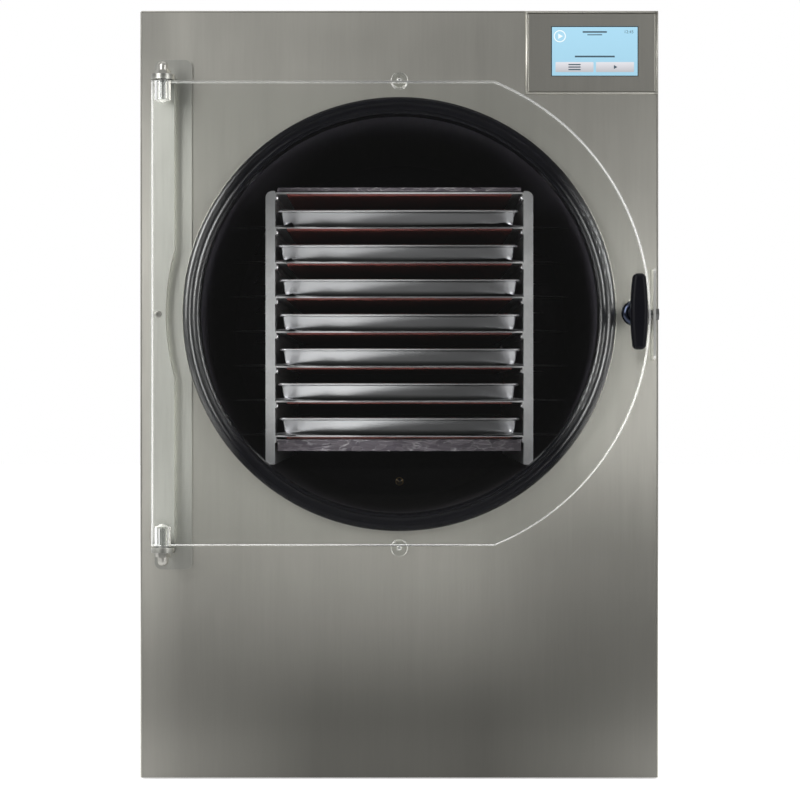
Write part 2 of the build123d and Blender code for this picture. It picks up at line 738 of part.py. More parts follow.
def rivet_points():
    """Depth and height of each rivet in a side plate: two to a shelf."""
    ends = (RACK_FRONT + RIVET_INSET, RACK_FRONT + RACK_LENGTH - RIVET_INSET)
    return [(depth, shelf_height(index) - RIVET_DROP) for index in range(SHELVES) for depth in ends]


def make_shelves():
    """Eight shelves, each an inverted channel riveted between the side plates."""
    for index in range(SHELVES):
        top = shelf_height(index)
        with BuildPart() as shelf:
            with BuildSketch(chamber_plane(RACK_FRONT)) as section:
                with Locations((0, top)):
                    Rectangle(RACK_W, SHELF_SIDE, align=(Align.CENTER, Align.MAX))
                fillet(section.vertices().group_by(Axis.Y)[-1], SHELF_T)
                with Locations((0, top - SHELF_T)):
                    Rectangle(RACK_W - 2 * RACK_SHEET, SHELF_SIDE, align=(Align.CENTER, Align.MAX),
                              mode=Mode.SUBTRACT)
            extrude(amount=-RACK_LENGTH)
            with BuildSketch(side_plane(0)):
                with Locations(*rivet_points()[2 * index:2 * index + 2]):
                    Circle(RIVET_R / 2)
            extrude(amount=RACK_W, both=True, mode=Mode.SUBTRACT)
        save(shelf, f"shelf_{index + 1}")


def make_rack_rivets():
    """A rivet at each end of every shelf: its head inside the channel, its tail outside the plate."""
    grip = 2 * RACK_SHEET
    with BuildPart() as rack_rivets:
        with BuildSketch(side_plane(RACK_W / 2 - RACK_SHEET)):
            with Locations(*rivet_points()):
                Circle(RIVET_R)
        extrude(amount=-RIVET_HEAD)
        with BuildSketch(side_plane(RACK_W / 2 - RACK_SHEET)):
            with Locations(*rivet_points()):
                Circle(RIVET_R / 2)
        extrude(amount=grip)
        mirror(about=Plane.YZ)
    save(rack_rivets, "rack_rivets")


def make_heater_mats():
    """One silicone heater mat under each shelf."""
    mat_length = RACK_LENGTH - 2 * MAT_INSET
    with BuildPart() as heater_mats:
        for index in range(SHELVES):
            with BuildSketch(chamber_plane(RACK_FRONT + MAT_INSET)):
                with Locations((0, shelf_height(index) - SHELF_T)):
                    Rectangle(MAT_W, MAT_T, align=(Align.CENTER, Align.MAX))
            extrude(amount=-mat_length)
    save(heater_mats, "heater_mats")


def pan_form(foot, inset):
    """Solid pan from a foot height to the brim, drawn in from the tray's outside by an inset."""
    brim_w = TRAY_W - 2 * TRAY_RIM - 2 * inset
    brim_l = TRAY_L - 2 * TRAY_RIM - 2 * inset
    corner_r = TRAY_CORNER_R - TRAY_RIM - inset
    with BuildPart() as form:
        with BuildSketch(Plane.XY.offset(foot)):
            RectangleRounded(brim_w - 2 * TRAY_LEAN, brim_l - 2 * TRAY_LEAN, corner_r - TRAY_LEAN / 2)
        with BuildSketch(Plane.XY.offset(TRAY_H)):
            RectangleRounded(brim_w, brim_l, corner_r)
        loft(ruled=True)
        fillet(form.faces().sort_by(Axis.Z)[0].edges(), TRAY_FOOT_R - inset)
    return form.part


def tray_form():
    """Pan with leaning walls, a rounded foot and a thick rim, standing on the origin."""
    with BuildPart() as form:
        add(pan_form(0, 0))
        with BuildSketch(Plane.XY.offset(TRAY_H)):
            RectangleRounded(TRAY_W, TRAY_L, TRAY_CORNER_R)
        extrude(amount=-TRAY_RIM_H)
        add(pan_form(TRAY_WALL, TRAY_WALL), mode=Mode.SUBTRACT)
    return form.part


def make_trays():
    """Seven equal trays. Each rests on the shelf below it, pushed in a little more or less."""
    form = tray_form()
    for index, (shift_x, shift_y) in enumerate(TRAY_SHIFTS):
        middle_y = FRONT_Y + RACK_FRONT + TRAY_L / 2 + shift_y
        with BuildPart() as tray:
            with Locations((shift_x, middle_y, CHAMBER_Z + shelf_height(index + 1))):
                add(form)
        save(tray, f"tray_{index + 1}")


def make_foil(name, top, thickness):
    """Foil-faced insulation that fills the rack from side to side, between the rivets' heads."""
    width = RACK_W - 2 * (RACK_SHEET + RIVET_HEAD + SEAL_GAP)
    with BuildPart() as foil:
        with BuildSketch(chamber_plane(RACK_FRONT + SEAL_GAP)):
            with Locations((0, top)):
                Rectangle(width, thickness, align=(Align.CENTER, Align.MAX))
        extrude(amount=2 * SEAL_GAP - RACK_LENGTH)
    save(foil, name)


# ---------------------------------------------------------------- door and hinge

def make_hinge_base_plate():
    """Thin plate on the front panel under the hinge bracket, cut clear of the gasket."""
    centre_x = HINGE_X - HINGE_BAR_W / 2 - HINGE_PLATE_MARGIN + HINGE_PLATE_W / 2
    height = 2 * (DOOR_HALF_H + EAR_GAP + EAR_T + HINGE_PLATE_OVER)
    with BuildPart() as hinge_base_plate:
        with BuildSketch(chamber_plane(0)):
            with Locations((centre_x, 0)):
                RectangleRounded(HINGE_PLATE_W, height, HINGE_PLATE_R)
            Circle(GASKET_R + OPENING_GAP, mode=Mode.SUBTRACT)
        extrude(amount=HINGE_PLATE_T)
    save(hinge_base_plate, "hinge_base_plate")


def make_hinge_bracket():
    """Upright bar with an arc cut round the gasket, and an ear at each end that holds a pivot pin."""
    ear_low = DOOR_HALF_H + EAR_GAP
    plate_face = DOOR_GAP + DOOR_T / 2 - HINGE_PLATE_T
    with BuildPart() as hinge_bracket:
        with BuildSketch(chamber_plane(-HINGE_PLATE_T)):
            with Locations((HINGE_X, 0)):
                Rectangle(HINGE_BAR_W, 2 * (ear_low + EAR_T))
            Circle(GASKET_R + HINGE_RELIEF, mode=Mode.SUBTRACT)
        extrude(amount=HINGE_BAR_T)
        for height in (ear_low, -ear_low - EAR_T):
            with BuildSketch(hinge_plane(height)):
                Rectangle(HINGE_BAR_W, plate_face, align=(Align.CENTER, Align.MIN))
                Circle(EAR_R)
                Circle(PIN_R + SEAT_FIT, mode=Mode.SUBTRACT)
            extrude(amount=EAR_T)
    save(hinge_bracket, "hinge_bracket")


def make_hinge_pins():
    """Pivot pins: each hangs in its ear by a collar, and reaches into the bush in the door's edge."""
    collar_top = DOOR_HALF_H + EAR_GAP
    with BuildPart() as hinge_pins:
        with BuildSketch(hinge_plane(DOOR_HALF_H - PIN_REACH)):
            Circle(PIN_R)
        extrude(amount=PIN_REACH + EAR_GAP + EAR_T)
        with BuildSketch(hinge_plane(DOOR_HALF_H + SEAL_GAP)):
            Circle(PIN_COLLAR_R)
        extrude(amount=EAR_GAP - SEAL_GAP)
        with BuildSketch(hinge_plane(collar_top + EAR_T)):
            Circle(PIN_THREAD_R)
        extrude(amount=PIN_THREAD_L)
        mirror(about=Plane.XY.offset(CHAMBER_Z))
    save(hinge_pins, "hinge_pins")


def make_hinge_nuts():
    """Dome nuts on the pins' threaded ends."""
    seat = DOOR_HALF_H + EAR_GAP + EAR_T
    bore = PIN_THREAD_R + SEAT_FIT
    with BuildPart() as hinge_nuts:
        with BuildSketch(hinge_plane(seat)):
            RegularPolygon(NUT_FLANGE_R, 6)
        extrude(amount=NUT_FLANGE_T)
        with BuildSketch(hinge_plane(seat + NUT_FLANGE_T)):
            Circle(NUT_DOME_R)
        extrude(amount=NUT_DOME_H - NUT_FLANGE_T)
        fillet(hinge_nuts.faces().sort_by(Axis.Z)[-1].edges(), NUT_DOME_ROUND)
        with BuildSketch(hinge_plane(seat)):
            Circle(bore)
        extrude(amount=PIN_THREAD_L, mode=Mode.SUBTRACT)
        mirror(about=Plane.XY.offset(CHAMBER_Z))
    save(hinge_nuts, "hinge_nuts")


def make_door_panel():
    """Thick clear door: straight left, top and bottom edges, round on the right."""
    corner_x = sqrt(DOOR_ARC_R ** 2 - DOOR_HALF_H ** 2)
    hinge_axis = Axis((HINGE_X, FRONT_Y + HINGE_DEPTH, CHAMBER_Z), (0, 0, 1))
    with BuildPart() as door_panel:
        with BuildSketch(chamber_plane(-DOOR_GAP)):
            with BuildLine():
                Polyline((corner_x, DOOR_HALF_H), (-DOOR_LEFT, DOOR_HALF_H), (-DOOR_LEFT, -DOOR_HALF_H),
                         (corner_x, -DOOR_HALF_H))
                ThreePointArc((corner_x, -DOOR_HALF_H), (DOOR_ARC_R, 0), (corner_x, DOOR_HALF_H))
            make_face()
        extrude(amount=DOOR_T)
        front = door_panel.faces().sort_by(Axis.Y)[0]
        back = door_panel.faces().sort_by(Axis.Y)[-1]
        chamfer(front.edges() + back.edges(), DOOR_CHAMFER)
        with BuildSketch(chamber_plane(-DOOR_GAP)):
            with Locations((LATCH_X, 0)):
                Circle(HUB_R + SEAT_FIT)
        extrude(amount=DOOR_T, mode=Mode.SUBTRACT)
        for end in (1, -1):
            revolve(bush_hole_section(end), axis=hinge_axis, mode=Mode.SUBTRACT)
    save(door_panel, "door_panel")


def bush_hole_section(end):
    """Half section of the blind, pointed hole in the door's top (end 1) or bottom (end -1) edge."""
    radius = BUSH_R + SEAT_FIT
    mouth = end * DOOR_HALF_H
    floor = end * (DOOR_HALF_H - BUSH_L)
    section = Plane(origin=(HINGE_X, FRONT_Y + HINGE_DEPTH, CHAMBER_Z), x_dir=(1, 0, 0), z_dir=(0, -1, 0))
    with BuildSketch(section) as hole:
        with BuildLine():
            Polyline((0, mouth), (radius, mouth), (radius, floor), (0, floor - end * DRILL_POINT), close=True)
        make_face()
    return hole.sketch


def make_door_bushes():
    """Bushes in the door's edge that turn on the pivot pins."""
    with BuildPart() as door_bushes:
        with BuildSketch(hinge_plane(DOOR_HALF_H - BUSH_L)):
            Circle(BUSH_R)
        extrude(amount=BUSH_L)
        with BuildSketch(hinge_plane(DOOR_HALF_H - BUSH_L + BUSH_FLOOR)):
            Circle(PIN_R + RUNNING_FIT)
        extrude(amount=BUSH_L, mode=Mode.SUBTRACT)
        mirror(about=Plane.XY.offset(CHAMBER_Z))
    save(door_bushes, "door_bushes")


def make_door_bumpers():
    """Two clear round bumpers on the front panel, half behind the door's top and bottom edges."""
    with BuildPart() as door_bumpers:
        with BuildSketch(chamber_plane(0)):
            with GridLocations(0, 2 * BUMPER_OFFSET, 1, 2):
                Circle(BUMPER_R)
        extrude(amount=DOOR_GAP - SEAL_GAP)
        fillet(door_bumpers.faces().filter_by(Axis.Y).group_by(Axis.Y)[0].edges(), BUMPER_ROUND)
        with BuildSketch(chamber_plane(SEAL_GAP - DOOR_GAP)):
            with GridLocations(0, 2 * BUMPER_OFFSET, 1, 2):
                Circle(BUMPER_SCREW_R)
        extrude(amount=-BUMPER_SCREW_DEPTH, mode=Mode.SUBTRACT)
    save(door_bumpers, "door_bumpers")


# ---------------------------------------------------------------- latch and strike

def make_latch_rosette():
    """Domed flange on the door's face with a hub that lines the hole for the shaft."""
    bore = SHAFT_R + RUNNING_FIT
    front = DOOR_FACE - ROSETTE_T
    rim = DOOR_FACE - ROSETTE_RIM_T
    dome = (ROSETTE_R - (ROSETTE_R - ROSETTE_CROWN_R) * ARC_CORNER, front + (rim - front) * ARC_CORNER)
    with BuildPart() as latch_rosette:
        with BuildSketch(axis_section(LATCH_X, CHAMBER_Z)):
            with BuildLine():
                Polyline((bore, front), (bore, -DOOR_GAP), (HUB_R, -DOOR_GAP), (HUB_R, DOOR_FACE),
                         (ROSETTE_R, DOOR_FACE), (ROSETTE_R, rim))
                ThreePointArc((ROSETTE_R, rim), dome, (ROSETTE_CROWN_R, front))
                Line((ROSETTE_CROWN_R, front), (bore, front))
            make_face()
        revolve(axis=depth_axis(LATCH_X, CHAMBER_Z))
    save(latch_rosette, "latch_rosette")


def latch_plane(depth):
    """Plane seen from the front with its origin on the latch's axis."""
    return Plane(origin=(LATCH_X, FRONT_Y + depth, CHAMBER_Z), x_dir=(1, 0, 0), z_dir=(0, -1, 0))


def make_latch_shaft():
    """Round shaft with a square neck for the pawl and a peened head behind it."""
    pawl_face = -PAWL_CLEAR - PAWL_T
    with BuildPart() as latch_shaft:
        with BuildSketch(latch_plane(pawl_face)):
            Circle(SHAFT_R)
        extrude(amount=pawl_face - HANDLE_DEPTH + HANDLE_T / 2)
        with BuildSketch(latch_plane(-PAWL_CLEAR)):
            Rectangle(NECK, NECK)
        extrude(amount=PAWL_T)
        with BuildSketch(latch_plane(-PAWL_CLEAR)):
            Circle(SHAFT_R)
        extrude(amount=-NECK_HEAD_T)
    save(latch_shaft, "latch_shaft")


def make_latch_handle():
    """T-handle: a barrel-shaped bar with rounded ends, on a short stem."""
    end_x, end_z = HANDLE_END_W / 2, HANDLE_L / 2
    with BuildPart() as latch_handle:
        with BuildSketch(latch_plane(HANDLE_DEPTH)) as outline:
            with BuildLine():
                ThreePointArc((-end_x, -end_z), (-HANDLE_MID_W / 2, 0), (-end_x, end_z))
                Line((-end_x, end_z), (end_x, end_z))
                ThreePointArc((end_x, end_z), (HANDLE_MID_W / 2, 0), (end_x, -end_z))
                Line((end_x, -end_z), (-end_x, -end_z))
            make_face()
            fillet(outline.vertices(), HANDLE_CORNER_R)
        extrude(amount=HANDLE_T)
        faces = latch_handle.faces().filter_by(Axis.Y)
        fillet(faces.edges(), HANDLE_EDGE_R)
        with BuildSketch(latch_plane(DOOR_FACE - ROSETTE_T - STEM_GAP)):
            Circle(STEM_R)
        extrude(amount=DOOR_FACE - ROSETTE_T - STEM_GAP - HANDLE_DEPTH + HANDLE_EDGE_R)
        with BuildSketch(latch_plane(HANDLE_DEPTH - HANDLE_T / 2)):
            Circle(SHAFT_R + SEAT_FIT)
        extrude(amount=-HANDLE_STAND, mode=Mode.SUBTRACT)
    save(latch_handle, "latch_handle")


def make_latch_pawl():
    """Pawl on the shaft's neck, upright when the latch is open, with a ramp at its tip."""
    tip = PAWL_REACH - PAWL_TIP_R
    with BuildPart() as latch_pawl:
        with BuildSketch(latch_plane(-PAWL_CLEAR)):
            with BuildLine():
                CenterArc((0, 0), PAWL_R, 0, 360)
                CenterArc((0, tip), PAWL_TIP_R, 0, 360)
            make_hull()
        extrude(amount=PAWL_T)
        front_rim = latch_pawl.faces().sort_by(Axis.Y)[0].edges().sort_by(Axis.Z)[-1]
        chamfer(front_rim, PAWL_RAMP)
        with BuildSketch(latch_plane(-PAWL_CLEAR)):
            Rectangle(NECK + 2 * NECK_FIT, NECK + 2 * NECK_FIT)
        extrude(amount=PAWL_T, mode=Mode.SUBTRACT)
    save(latch_pawl, "latch_pawl")


def make_strike_bracket():
    """Plate that stands out through the front panel's slot, with a foot behind the panel."""
    with BuildPart() as strike_bracket:
        with BuildSketch(side_plane(STRIKE_X)) as blade:
            with Locations((SHEET + STRIKE_T, 0)):
                Rectangle(SHEET + STRIKE_T + STRIKE_REACH, STRIKE_H, align=(Align.MAX, Align.CENTER))
            fillet(blade.vertices().group_by(Axis.X)[0], STRIKE_FOOT / 3)
            with Locations((ROLLER_DEPTH, 0)):
                Circle(BOLT_R + SEAT_FIT, mode=Mode.SUBTRACT)
        extrude(amount=STRIKE_T)
        with BuildSketch(side_plane(STRIKE_X)):
            with Locations((SHEET, 0)):
                Rectangle(STRIKE_T, STRIKE_H, align=(Align.MIN, Align.CENTER))
        extrude(amount=STRIKE_T - STRIKE_FOOT)
    save(strike_bracket, "strike_bracket")


def bolt_plane(x):
    """Plane across the strike bolt's axis."""
    return Plane(origin=(x, FRONT_Y + ROLLER_DEPTH, CHAMBER_Z), x_dir=(0, 1, 0), z_dir=(1, 0, 0))


def make_strike_bolt():
    """Shoulder bolt through the strike plate. The roller turns on its shank, held by an end collar."""
    shoulder_x = STRIKE_X - STRIKE_DOOR_GAP - ROLLER_SIDE_GAP
    roller_x = shoulder_x - ROLLER_W - 2 * ROLLER_SIDE_GAP
    with BuildPart() as strike_bolt:
        with BuildSketch(bolt_plane(STRIKE_X + STRIKE_T)):
            RegularPolygon(BOLT_HEAD_R, 6)
        extrude(amount=BOLT_HEAD_T)
        with BuildSketch(bolt_plane(roller_x)):
            Circle(BOLT_R)
        extrude(amount=STRIKE_X + STRIKE_T - roller_x)
        with BuildSketch(bolt_plane(shoulder_x)):
            Circle(BOLT_SHOULDER_R)
        extrude(amount=STRIKE_X - shoulder_x)
        with BuildSketch(bolt_plane(roller_x)):
            Circle(BOLT_SHOULDER_R)
        extrude(amount=-BOLT_COLLAR_T)
    save(strike_bolt, "strike_bolt")


def make_strike_roller():
    """Roller that the pawl slides behind."""
    start_x = STRIKE_X - STRIKE_DOOR_GAP - 2 * ROLLER_SIDE_GAP - ROLLER_W
    with BuildPart() as strike_roller:
        with BuildSketch(bolt_plane(start_x)):
            Circle(ROLLER_R)
            Circle(BOLT_R + RUNNING_FIT, mode=Mode.SUBTRACT)
        extrude(amount=ROLLER_W)
    save(strike_roller, "strike_roller")


# ---------------------------------------------------------------- refrigeration

def make_compressor():
    """Hermetic compressor: domed oval shell with a seam, a foot plate, grommets and a terminal box."""
    centre = (COMPRESSOR_X, FRONT_Y + COMPRESSOR_DEPTH)
    shell_z = PAN_TOP + COMPRESSOR_LIFT
    with BuildPart() as compressor:
        with BuildSketch(Plane(origin=(*centre, shell_z))):
            Ellipse(COMPRESSOR_W / 2, COMPRESSOR_L / 2)
        extrude(amount=COMPRESSOR_H)
        fillet(compressor.faces().filter_by(Axis.Z).edges(), COMPRESSOR_L / 5)
        with BuildSketch(Plane(origin=(*centre, shell_z + COMPRESSOR_H / 2))):
            Ellipse(COMPRESSOR_W / 2 + SEAM_RIM, COMPRESSOR_L / 2 + SEAM_RIM)
        extrude(amount=SEAM_RIM)
        with BuildSketch(Plane(origin=(*centre, shell_z - FOOT_PLATE_T))):
            RectangleRounded(COMPRESSOR_W, COMPRESSOR_L, GROMMET_INSET)
        extrude(amount=FOOT_PLATE_T + SEAM_RIM)
        with BuildSketch(Plane(origin=(*centre, PAN_TOP))):
            with GridLocations(COMPRESSOR_W - 2 * GROMMET_INSET, COMPRESSOR_L - 2 * GROMMET_INSET, 2, 2):
                Circle(GROMMET_R)
        extrude(amount=COMPRESSOR_LIFT - FOOT_PLATE_T)
        with BuildSketch(Plane(origin=(*centre, shell_z + COMPRESSOR_H / 4))):
            with Locations((COMPRESSOR_W / 2, 0)):
                Rectangle(TERMINAL_BOX, 2 * TERMINAL_BOX)
        extrude(amount=COMPRESSOR_H / 2)
    save(compressor, "compressor")


def make_condenser_coil():
    """Finned block between two end plates, with return bends at one side."""
    bend_r = CONDENSER_H / (4 * RETURN_BENDS)
    fin_count = int((CONDENSER_W - 2 * END_PLATE) / FIN_PITCH)
    with BuildPart() as condenser_coil:
        with BuildSketch(face_plane(CONDENSER_FRONT)):
            with Locations((FAN_X, FAN_Z)):
                Rectangle(CONDENSER_W, CONDENSER_H)
        extrude(amount=-CONDENSER_T)
        with BuildSketch(face_plane(CONDENSER_BACK)):
            with Locations((FAN_X, FAN_Z)):
                with GridLocations(FIN_PITCH, 0, fin_count, 1):
                    Rectangle(FIN_SLOT, CONDENSER_H - 2 * END_PLATE)
        extrude(amount=FIN_CUT, mode=Mode.SUBTRACT)
        side_x = FAN_X + CONDENSER_W / 2
        for bend in range(RETURN_BENDS):
            height = FAN_Z - CONDENSER_H / 2 + (4 * bend + 2) * bend_r
            centre = (side_x, FRONT_Y + CONDENSER_FRONT + CONDENSER_T / 2, height)
            with BuildSketch(Plane(origin=centre, x_dir=(0, 0, 1), z_dir=(1, 0, 0))):
                with Locations((bend_r, 0)):
                    Circle(EVAPORATOR_D / 2)
            revolve(axis=Axis(centre, (0, -1, 0)), revolution_arc=180)
    save(condenser_coil, "condenser_coil")


def make_fan_shroud():
    """Square plate on the condenser with a collar round the rotor and arms to the motor's plate."""
    with BuildPart() as fan_shroud:
        with BuildSketch(face_plane(CONDENSER_FRONT)):
            with Locations((FAN_X, FAN_Z)):
                Rectangle(CONDENSER_W, CONDENSER_H)
                Circle(SHROUD_R, mode=Mode.SUBTRACT)
        extrude(amount=SHEET)
        with BuildSketch(face_plane(CONDENSER_FRONT)):
            with Locations((FAN_X, FAN_Z)):
                Circle(SHROUD_R + SHEET)
                Circle(SHROUD_R, mode=Mode.SUBTRACT)
        extrude(amount=SHEET + SHROUD_COLLAR)
        with BuildSketch(face_plane(MOTOR_FACE)):
            with Locations((FAN_X, FAN_Z)):
                Circle(MOTOR_R)
                with PolarLocations(0, ARMS):
                    Rectangle(SHROUD_R + SHEET, ARM_W, align=(Align.MIN, Align.CENTER))
                Circle(2 * MOTOR_SHAFT_R, mode=Mode.SUBTRACT)
        extrude(amount=SHEET)
    save(fan_shroud, "fan_shroud")


def make_fan_motor():
    """Motor can on the shroud's plate, with its shaft towards the condenser."""
    face = MOTOR_FACE - SHEET
    with BuildPart() as fan_motor:
        with BuildSketch(face_plane(face)):
            with Locations((FAN_X, FAN_Z)):
                Circle(MOTOR_R)
        extrude(amount=MOTOR_L)
        fillet(fan_motor.faces().sort_by(Axis.Y)[0].edges(), MOTOR_R / 5)
        with BuildSketch(face_plane(face)):
            with Locations((FAN_X, FAN_Z)):
                Circle(MOTOR_SHAFT_R)
        extrude(amount=-MOTOR_SHAFT_L)
    save(fan_motor, "fan_motor")


def blade_section(radius, width, angle):
    """A blade's thin section at a radius from the rotor's axis, pitched by an angle."""
    middle = MOTOR_FACE + ROTOR_STAND + ROTOR_HUB_L / 2
    place = Plane(origin=(FAN_X + radius, FRONT_Y + middle, FAN_Z), x_dir=(0, 1, 0), z_dir=(1, 0, 0))
    with BuildSketch(place) as section:
        Rectangle(BLADE_T, width, rotation=angle)
    return section.sketch


def make_fan_rotor():
    """Hub with twisted blades."""
    root = blade_section(ROTOR_HUB_R - BLADE_SINK, BLADE_ROOT_W, BLADE_ROOT_ANGLE)
    tip = blade_section(SHROUD_R - ROTOR_TIP_GAP, BLADE_TIP_W, BLADE_TIP_ANGLE)
    with BuildPart() as fan_rotor:
        blade = loft([root, tip], mode=Mode.PRIVATE)
        axis = depth_axis(FAN_X, FAN_Z)
        for turn in range(BLADES):
            add(blade.rotate(axis, turn * 360 / BLADES))
        with BuildSketch(face_plane(MOTOR_FACE + ROTOR_STAND)):
            with Locations((FAN_X, FAN_Z)):
                Circle(ROTOR_HUB_R)
        extrude(amount=-ROTOR_HUB_L)
        with BuildSketch(face_plane(MOTOR_FACE)):
            with Locations((FAN_X, FAN_Z)):
                Circle(MOTOR_SHAFT_R + RUNNING_FIT)
        extrude(amount=-ROTOR_HUB_L - 2 * ROTOR_STAND, mode=Mode.SUBTRACT)
    save(fan_rotor, "fan_rotor")


# ---------------------------------------------------------------- rear connections

def make_vacuum_port():
    """Pipe from the chamber's back through the rear panel, with a lock nut and a plain hose spigot."""
    centre = (VACUUM_X, CHAMBER_Z + VACUUM_OFFSET)
    length = CABINET_D + VACUUM_REACH - CHAMBER_DEPTH
    with BuildPart() as vacuum_port:
        with BuildSketch(face_plane(CHAMBER_DEPTH)):
            with Locations(centre):
                Circle(VACUUM_R)
        extrude(amount=-length)
        with BuildSketch(face_plane(CABINET_D)):
            with Locations(centre):
                RegularPolygon(VACUUM_NUT_R, 6)
        extrude(amount=-VACUUM_NUT_T)
        with BuildSketch(face_plane(CHAMBER_DEPTH)):
            with Locations(centre):
                Circle(VACUUM_R - VACUUM_WALL)
        extrude(amount=-length, mode=Mode.SUBTRACT)
    save(vacuum_port, "vacuum_port")


def make_drain_valve():
    """Drain pipe from the chamber's lowest point, a valve body outside the rear panel, and a spigot."""
    centre = (0, CHAMBER_Z - DRAIN_DROP)
    length = CABINET_D + DRAIN_REACH - CHAMBER_DEPTH
    stem_y = FRONT_Y + CABINET_D + VALVE_L / 2
    with BuildPart() as drain_valve:
        with BuildSketch(face_plane(CHAMBER_DEPTH)):
            with Locations(centre):
                Circle(DRAIN_R)
        extrude(amount=-length)
        with BuildSketch(face_plane(CABINET_D)):
            with Locations(centre):
                Circle(VALVE_R)
        extrude(amount=-VALVE_L)
        with BuildSketch(Plane(origin=(0, stem_y, centre[1]))):
            Circle(LEVER_W / 2)
        extrude(amount=VALVE_R + VALVE_STEM_H)
        with BuildSketch(Plane(origin=(0, stem_y, centre[1]))):
            Circle(LEVER_SEAT_R)
        extrude(amount=VALVE_R + VALVE_STEM_H + LEVER_T)
        with BuildSketch(face_plane(CHAMBER_DEPTH)):
            with Locations(centre):
                Circle(DRAIN_R - DRAIN_WALL)
        extrude(amount=-length, mode=Mode.SUBTRACT)
    save(drain_valve, "drain_valve")


def make_drain_lever():
    """Flat lever on the valve's stem, across the pipe when the valve is shut."""
    seat = CHAMBER_Z - DRAIN_DROP + VALVE_R + VALVE_STEM_H + SEAL_GAP
    with BuildPart() as drain_lever:
        with BuildSketch(Plane(origin=(0, FRONT_Y + CABINET_D + VALVE_L / 2, seat))):
            with Locations((-LEVER_L / 2, 0)):
                SlotCenterToCenter(LEVER_L, LEVER_W)
            Circle(LEVER_SEAT_R + RUNNING_FIT, mode=Mode.SUBTRACT)
        extrude(amount=LEVER_T)
    save(drain_lever, "drain_lever")


def socket_body(height):
    """Bezel on the rear panel and the body through its cut-out."""
    with BuildPart() as body:
        with BuildSketch(face_plane(CABINET_D)):
            with Locations((POWER_X, height)):
                Rectangle(SOCKET_W + 2 * SOCKET_BEZEL, SOCKET_H + 2 * SOCKET_BEZEL)
        extrude(amount=-SOCKET_BEZEL_T)
        with BuildSketch(face_plane(CABINET_D)):
            with Locations((POWER_X, height)):
                Rectangle(SOCKET_W, SOCKET_H)
        extrude(amount=SOCKET_L)
    return body.part


def make_power_inlet():
    """Appliance inlet: a recess with three flat pins."""
    mouth = CABINET_D + SOCKET_BEZEL_T
    with BuildPart() as power_inlet:
        add(socket_body(INLET_Z))
        with BuildSketch(face_plane(mouth)):
            with Locations((POWER_X, INLET_Z)):
                Rectangle(INLET_CAVITY_W, INLET_CAVITY_H)
        extrude(amount=INLET_CAVITY_L, mode=Mode.SUBTRACT)
        with BuildSketch(face_plane(mouth - INLET_CAVITY_L)):
            with Locations((POWER_X, INLET_Z)):
                with Locations((-CONTACT_X, -CONTACT_Z), (0, CONTACT_Z), (CONTACT_X, -CONTACT_Z)):
                    Rectangle(CONTACT_W, CONTACT_H)
        extrude(amount=-CONTACT_L)
    save(power_inlet, "power_inlet")


def make_pump_outlet():
    """Outlet for the vacuum pump's plug: two upright slots and a round earth hole."""
    mouth = CABINET_D + SOCKET_BEZEL_T
    with BuildPart() as pump_outlet:
        add(socket_body(OUTLET_Z))
        with BuildSketch(face_plane(mouth)):
            with Locations((POWER_X, OUTLET_Z)):
                with Locations((-SLOT_X, SLOT_Z), (SLOT_X, SLOT_Z)):
                    Rectangle(CONTACT_W, SLOT_H)
                with Locations((0, -EARTH_DROP)):
                    Circle(EARTH_R)
        extrude(amount=INLET_CAVITY_L, mode=Mode.SUBTRACT)
    save(pump_outlet, "pump_outlet")


def make_power_switch_frame():
    """Frame of the power switch, with a pocket for the rocker and bearings for its axle."""
    with BuildPart() as power_switch_frame:
        add(socket_body(SWITCH_Z))
        with BuildSketch(face_plane(CABINET_D + SOCKET_BEZEL_T)):
            with Locations((POWER_X, SWITCH_Z)):
                Rectangle(ROCKER_W + 2 * ROCKER_GAP, ROCKER_H + 6 * ROCKER_GAP)
        extrude(amount=SOCKET_L - 2 * SOCKET_BEZEL_T, mode=Mode.SUBTRACT)
        with BuildSketch(Plane(origin=(POWER_X, FRONT_Y + CABINET_D - ROCKER_T / 2, SWITCH_Z),
                               x_dir=(0, 1, 0), z_dir=(1, 0, 0))):
            Circle(ROCKER_AXLE_R + RUNNING_FIT)
        extrude(amount=ROCKER_W / 2 + SOCKET_BEZEL / 2, both=True, mode=Mode.SUBTRACT)
    save(power_switch_frame, "power_switch_frame")


def make_power_switch_rocker():
    """Rocker on its axle, with its lower end pressed in: the switch is off."""
    tilt = radians(ROCKER_TILT)
    axle = Plane(origin=(POWER_X, FRONT_Y + CABINET_D - ROCKER_T / 2, SWITCH_Z),
                 x_dir=(0, cos(tilt), -sin(tilt)), z_dir=(1, 0, 0))
    half = ROCKER_H / 2
    with BuildPart() as power_switch_rocker:
        with BuildSketch(axle):
            with BuildLine():
                Polyline((0, -half), (ROCKER_T, -half), (ROCKER_T - ROCKER_DISH, 0),
                         (ROCKER_T, half), (0, half), (-ROCKER_T / 2, 0), close=True)
            make_face()
        extrude(amount=ROCKER_W / 2, both=True)
        with BuildSketch(axle):
            Circle(ROCKER_AXLE_R)
        extrude(amount=ROCKER_W / 2 + SOCKET_BEZEL / 2 - ROCKER_GAP, both=True)
    save(power_switch_rocker, "power_switch_rocker")


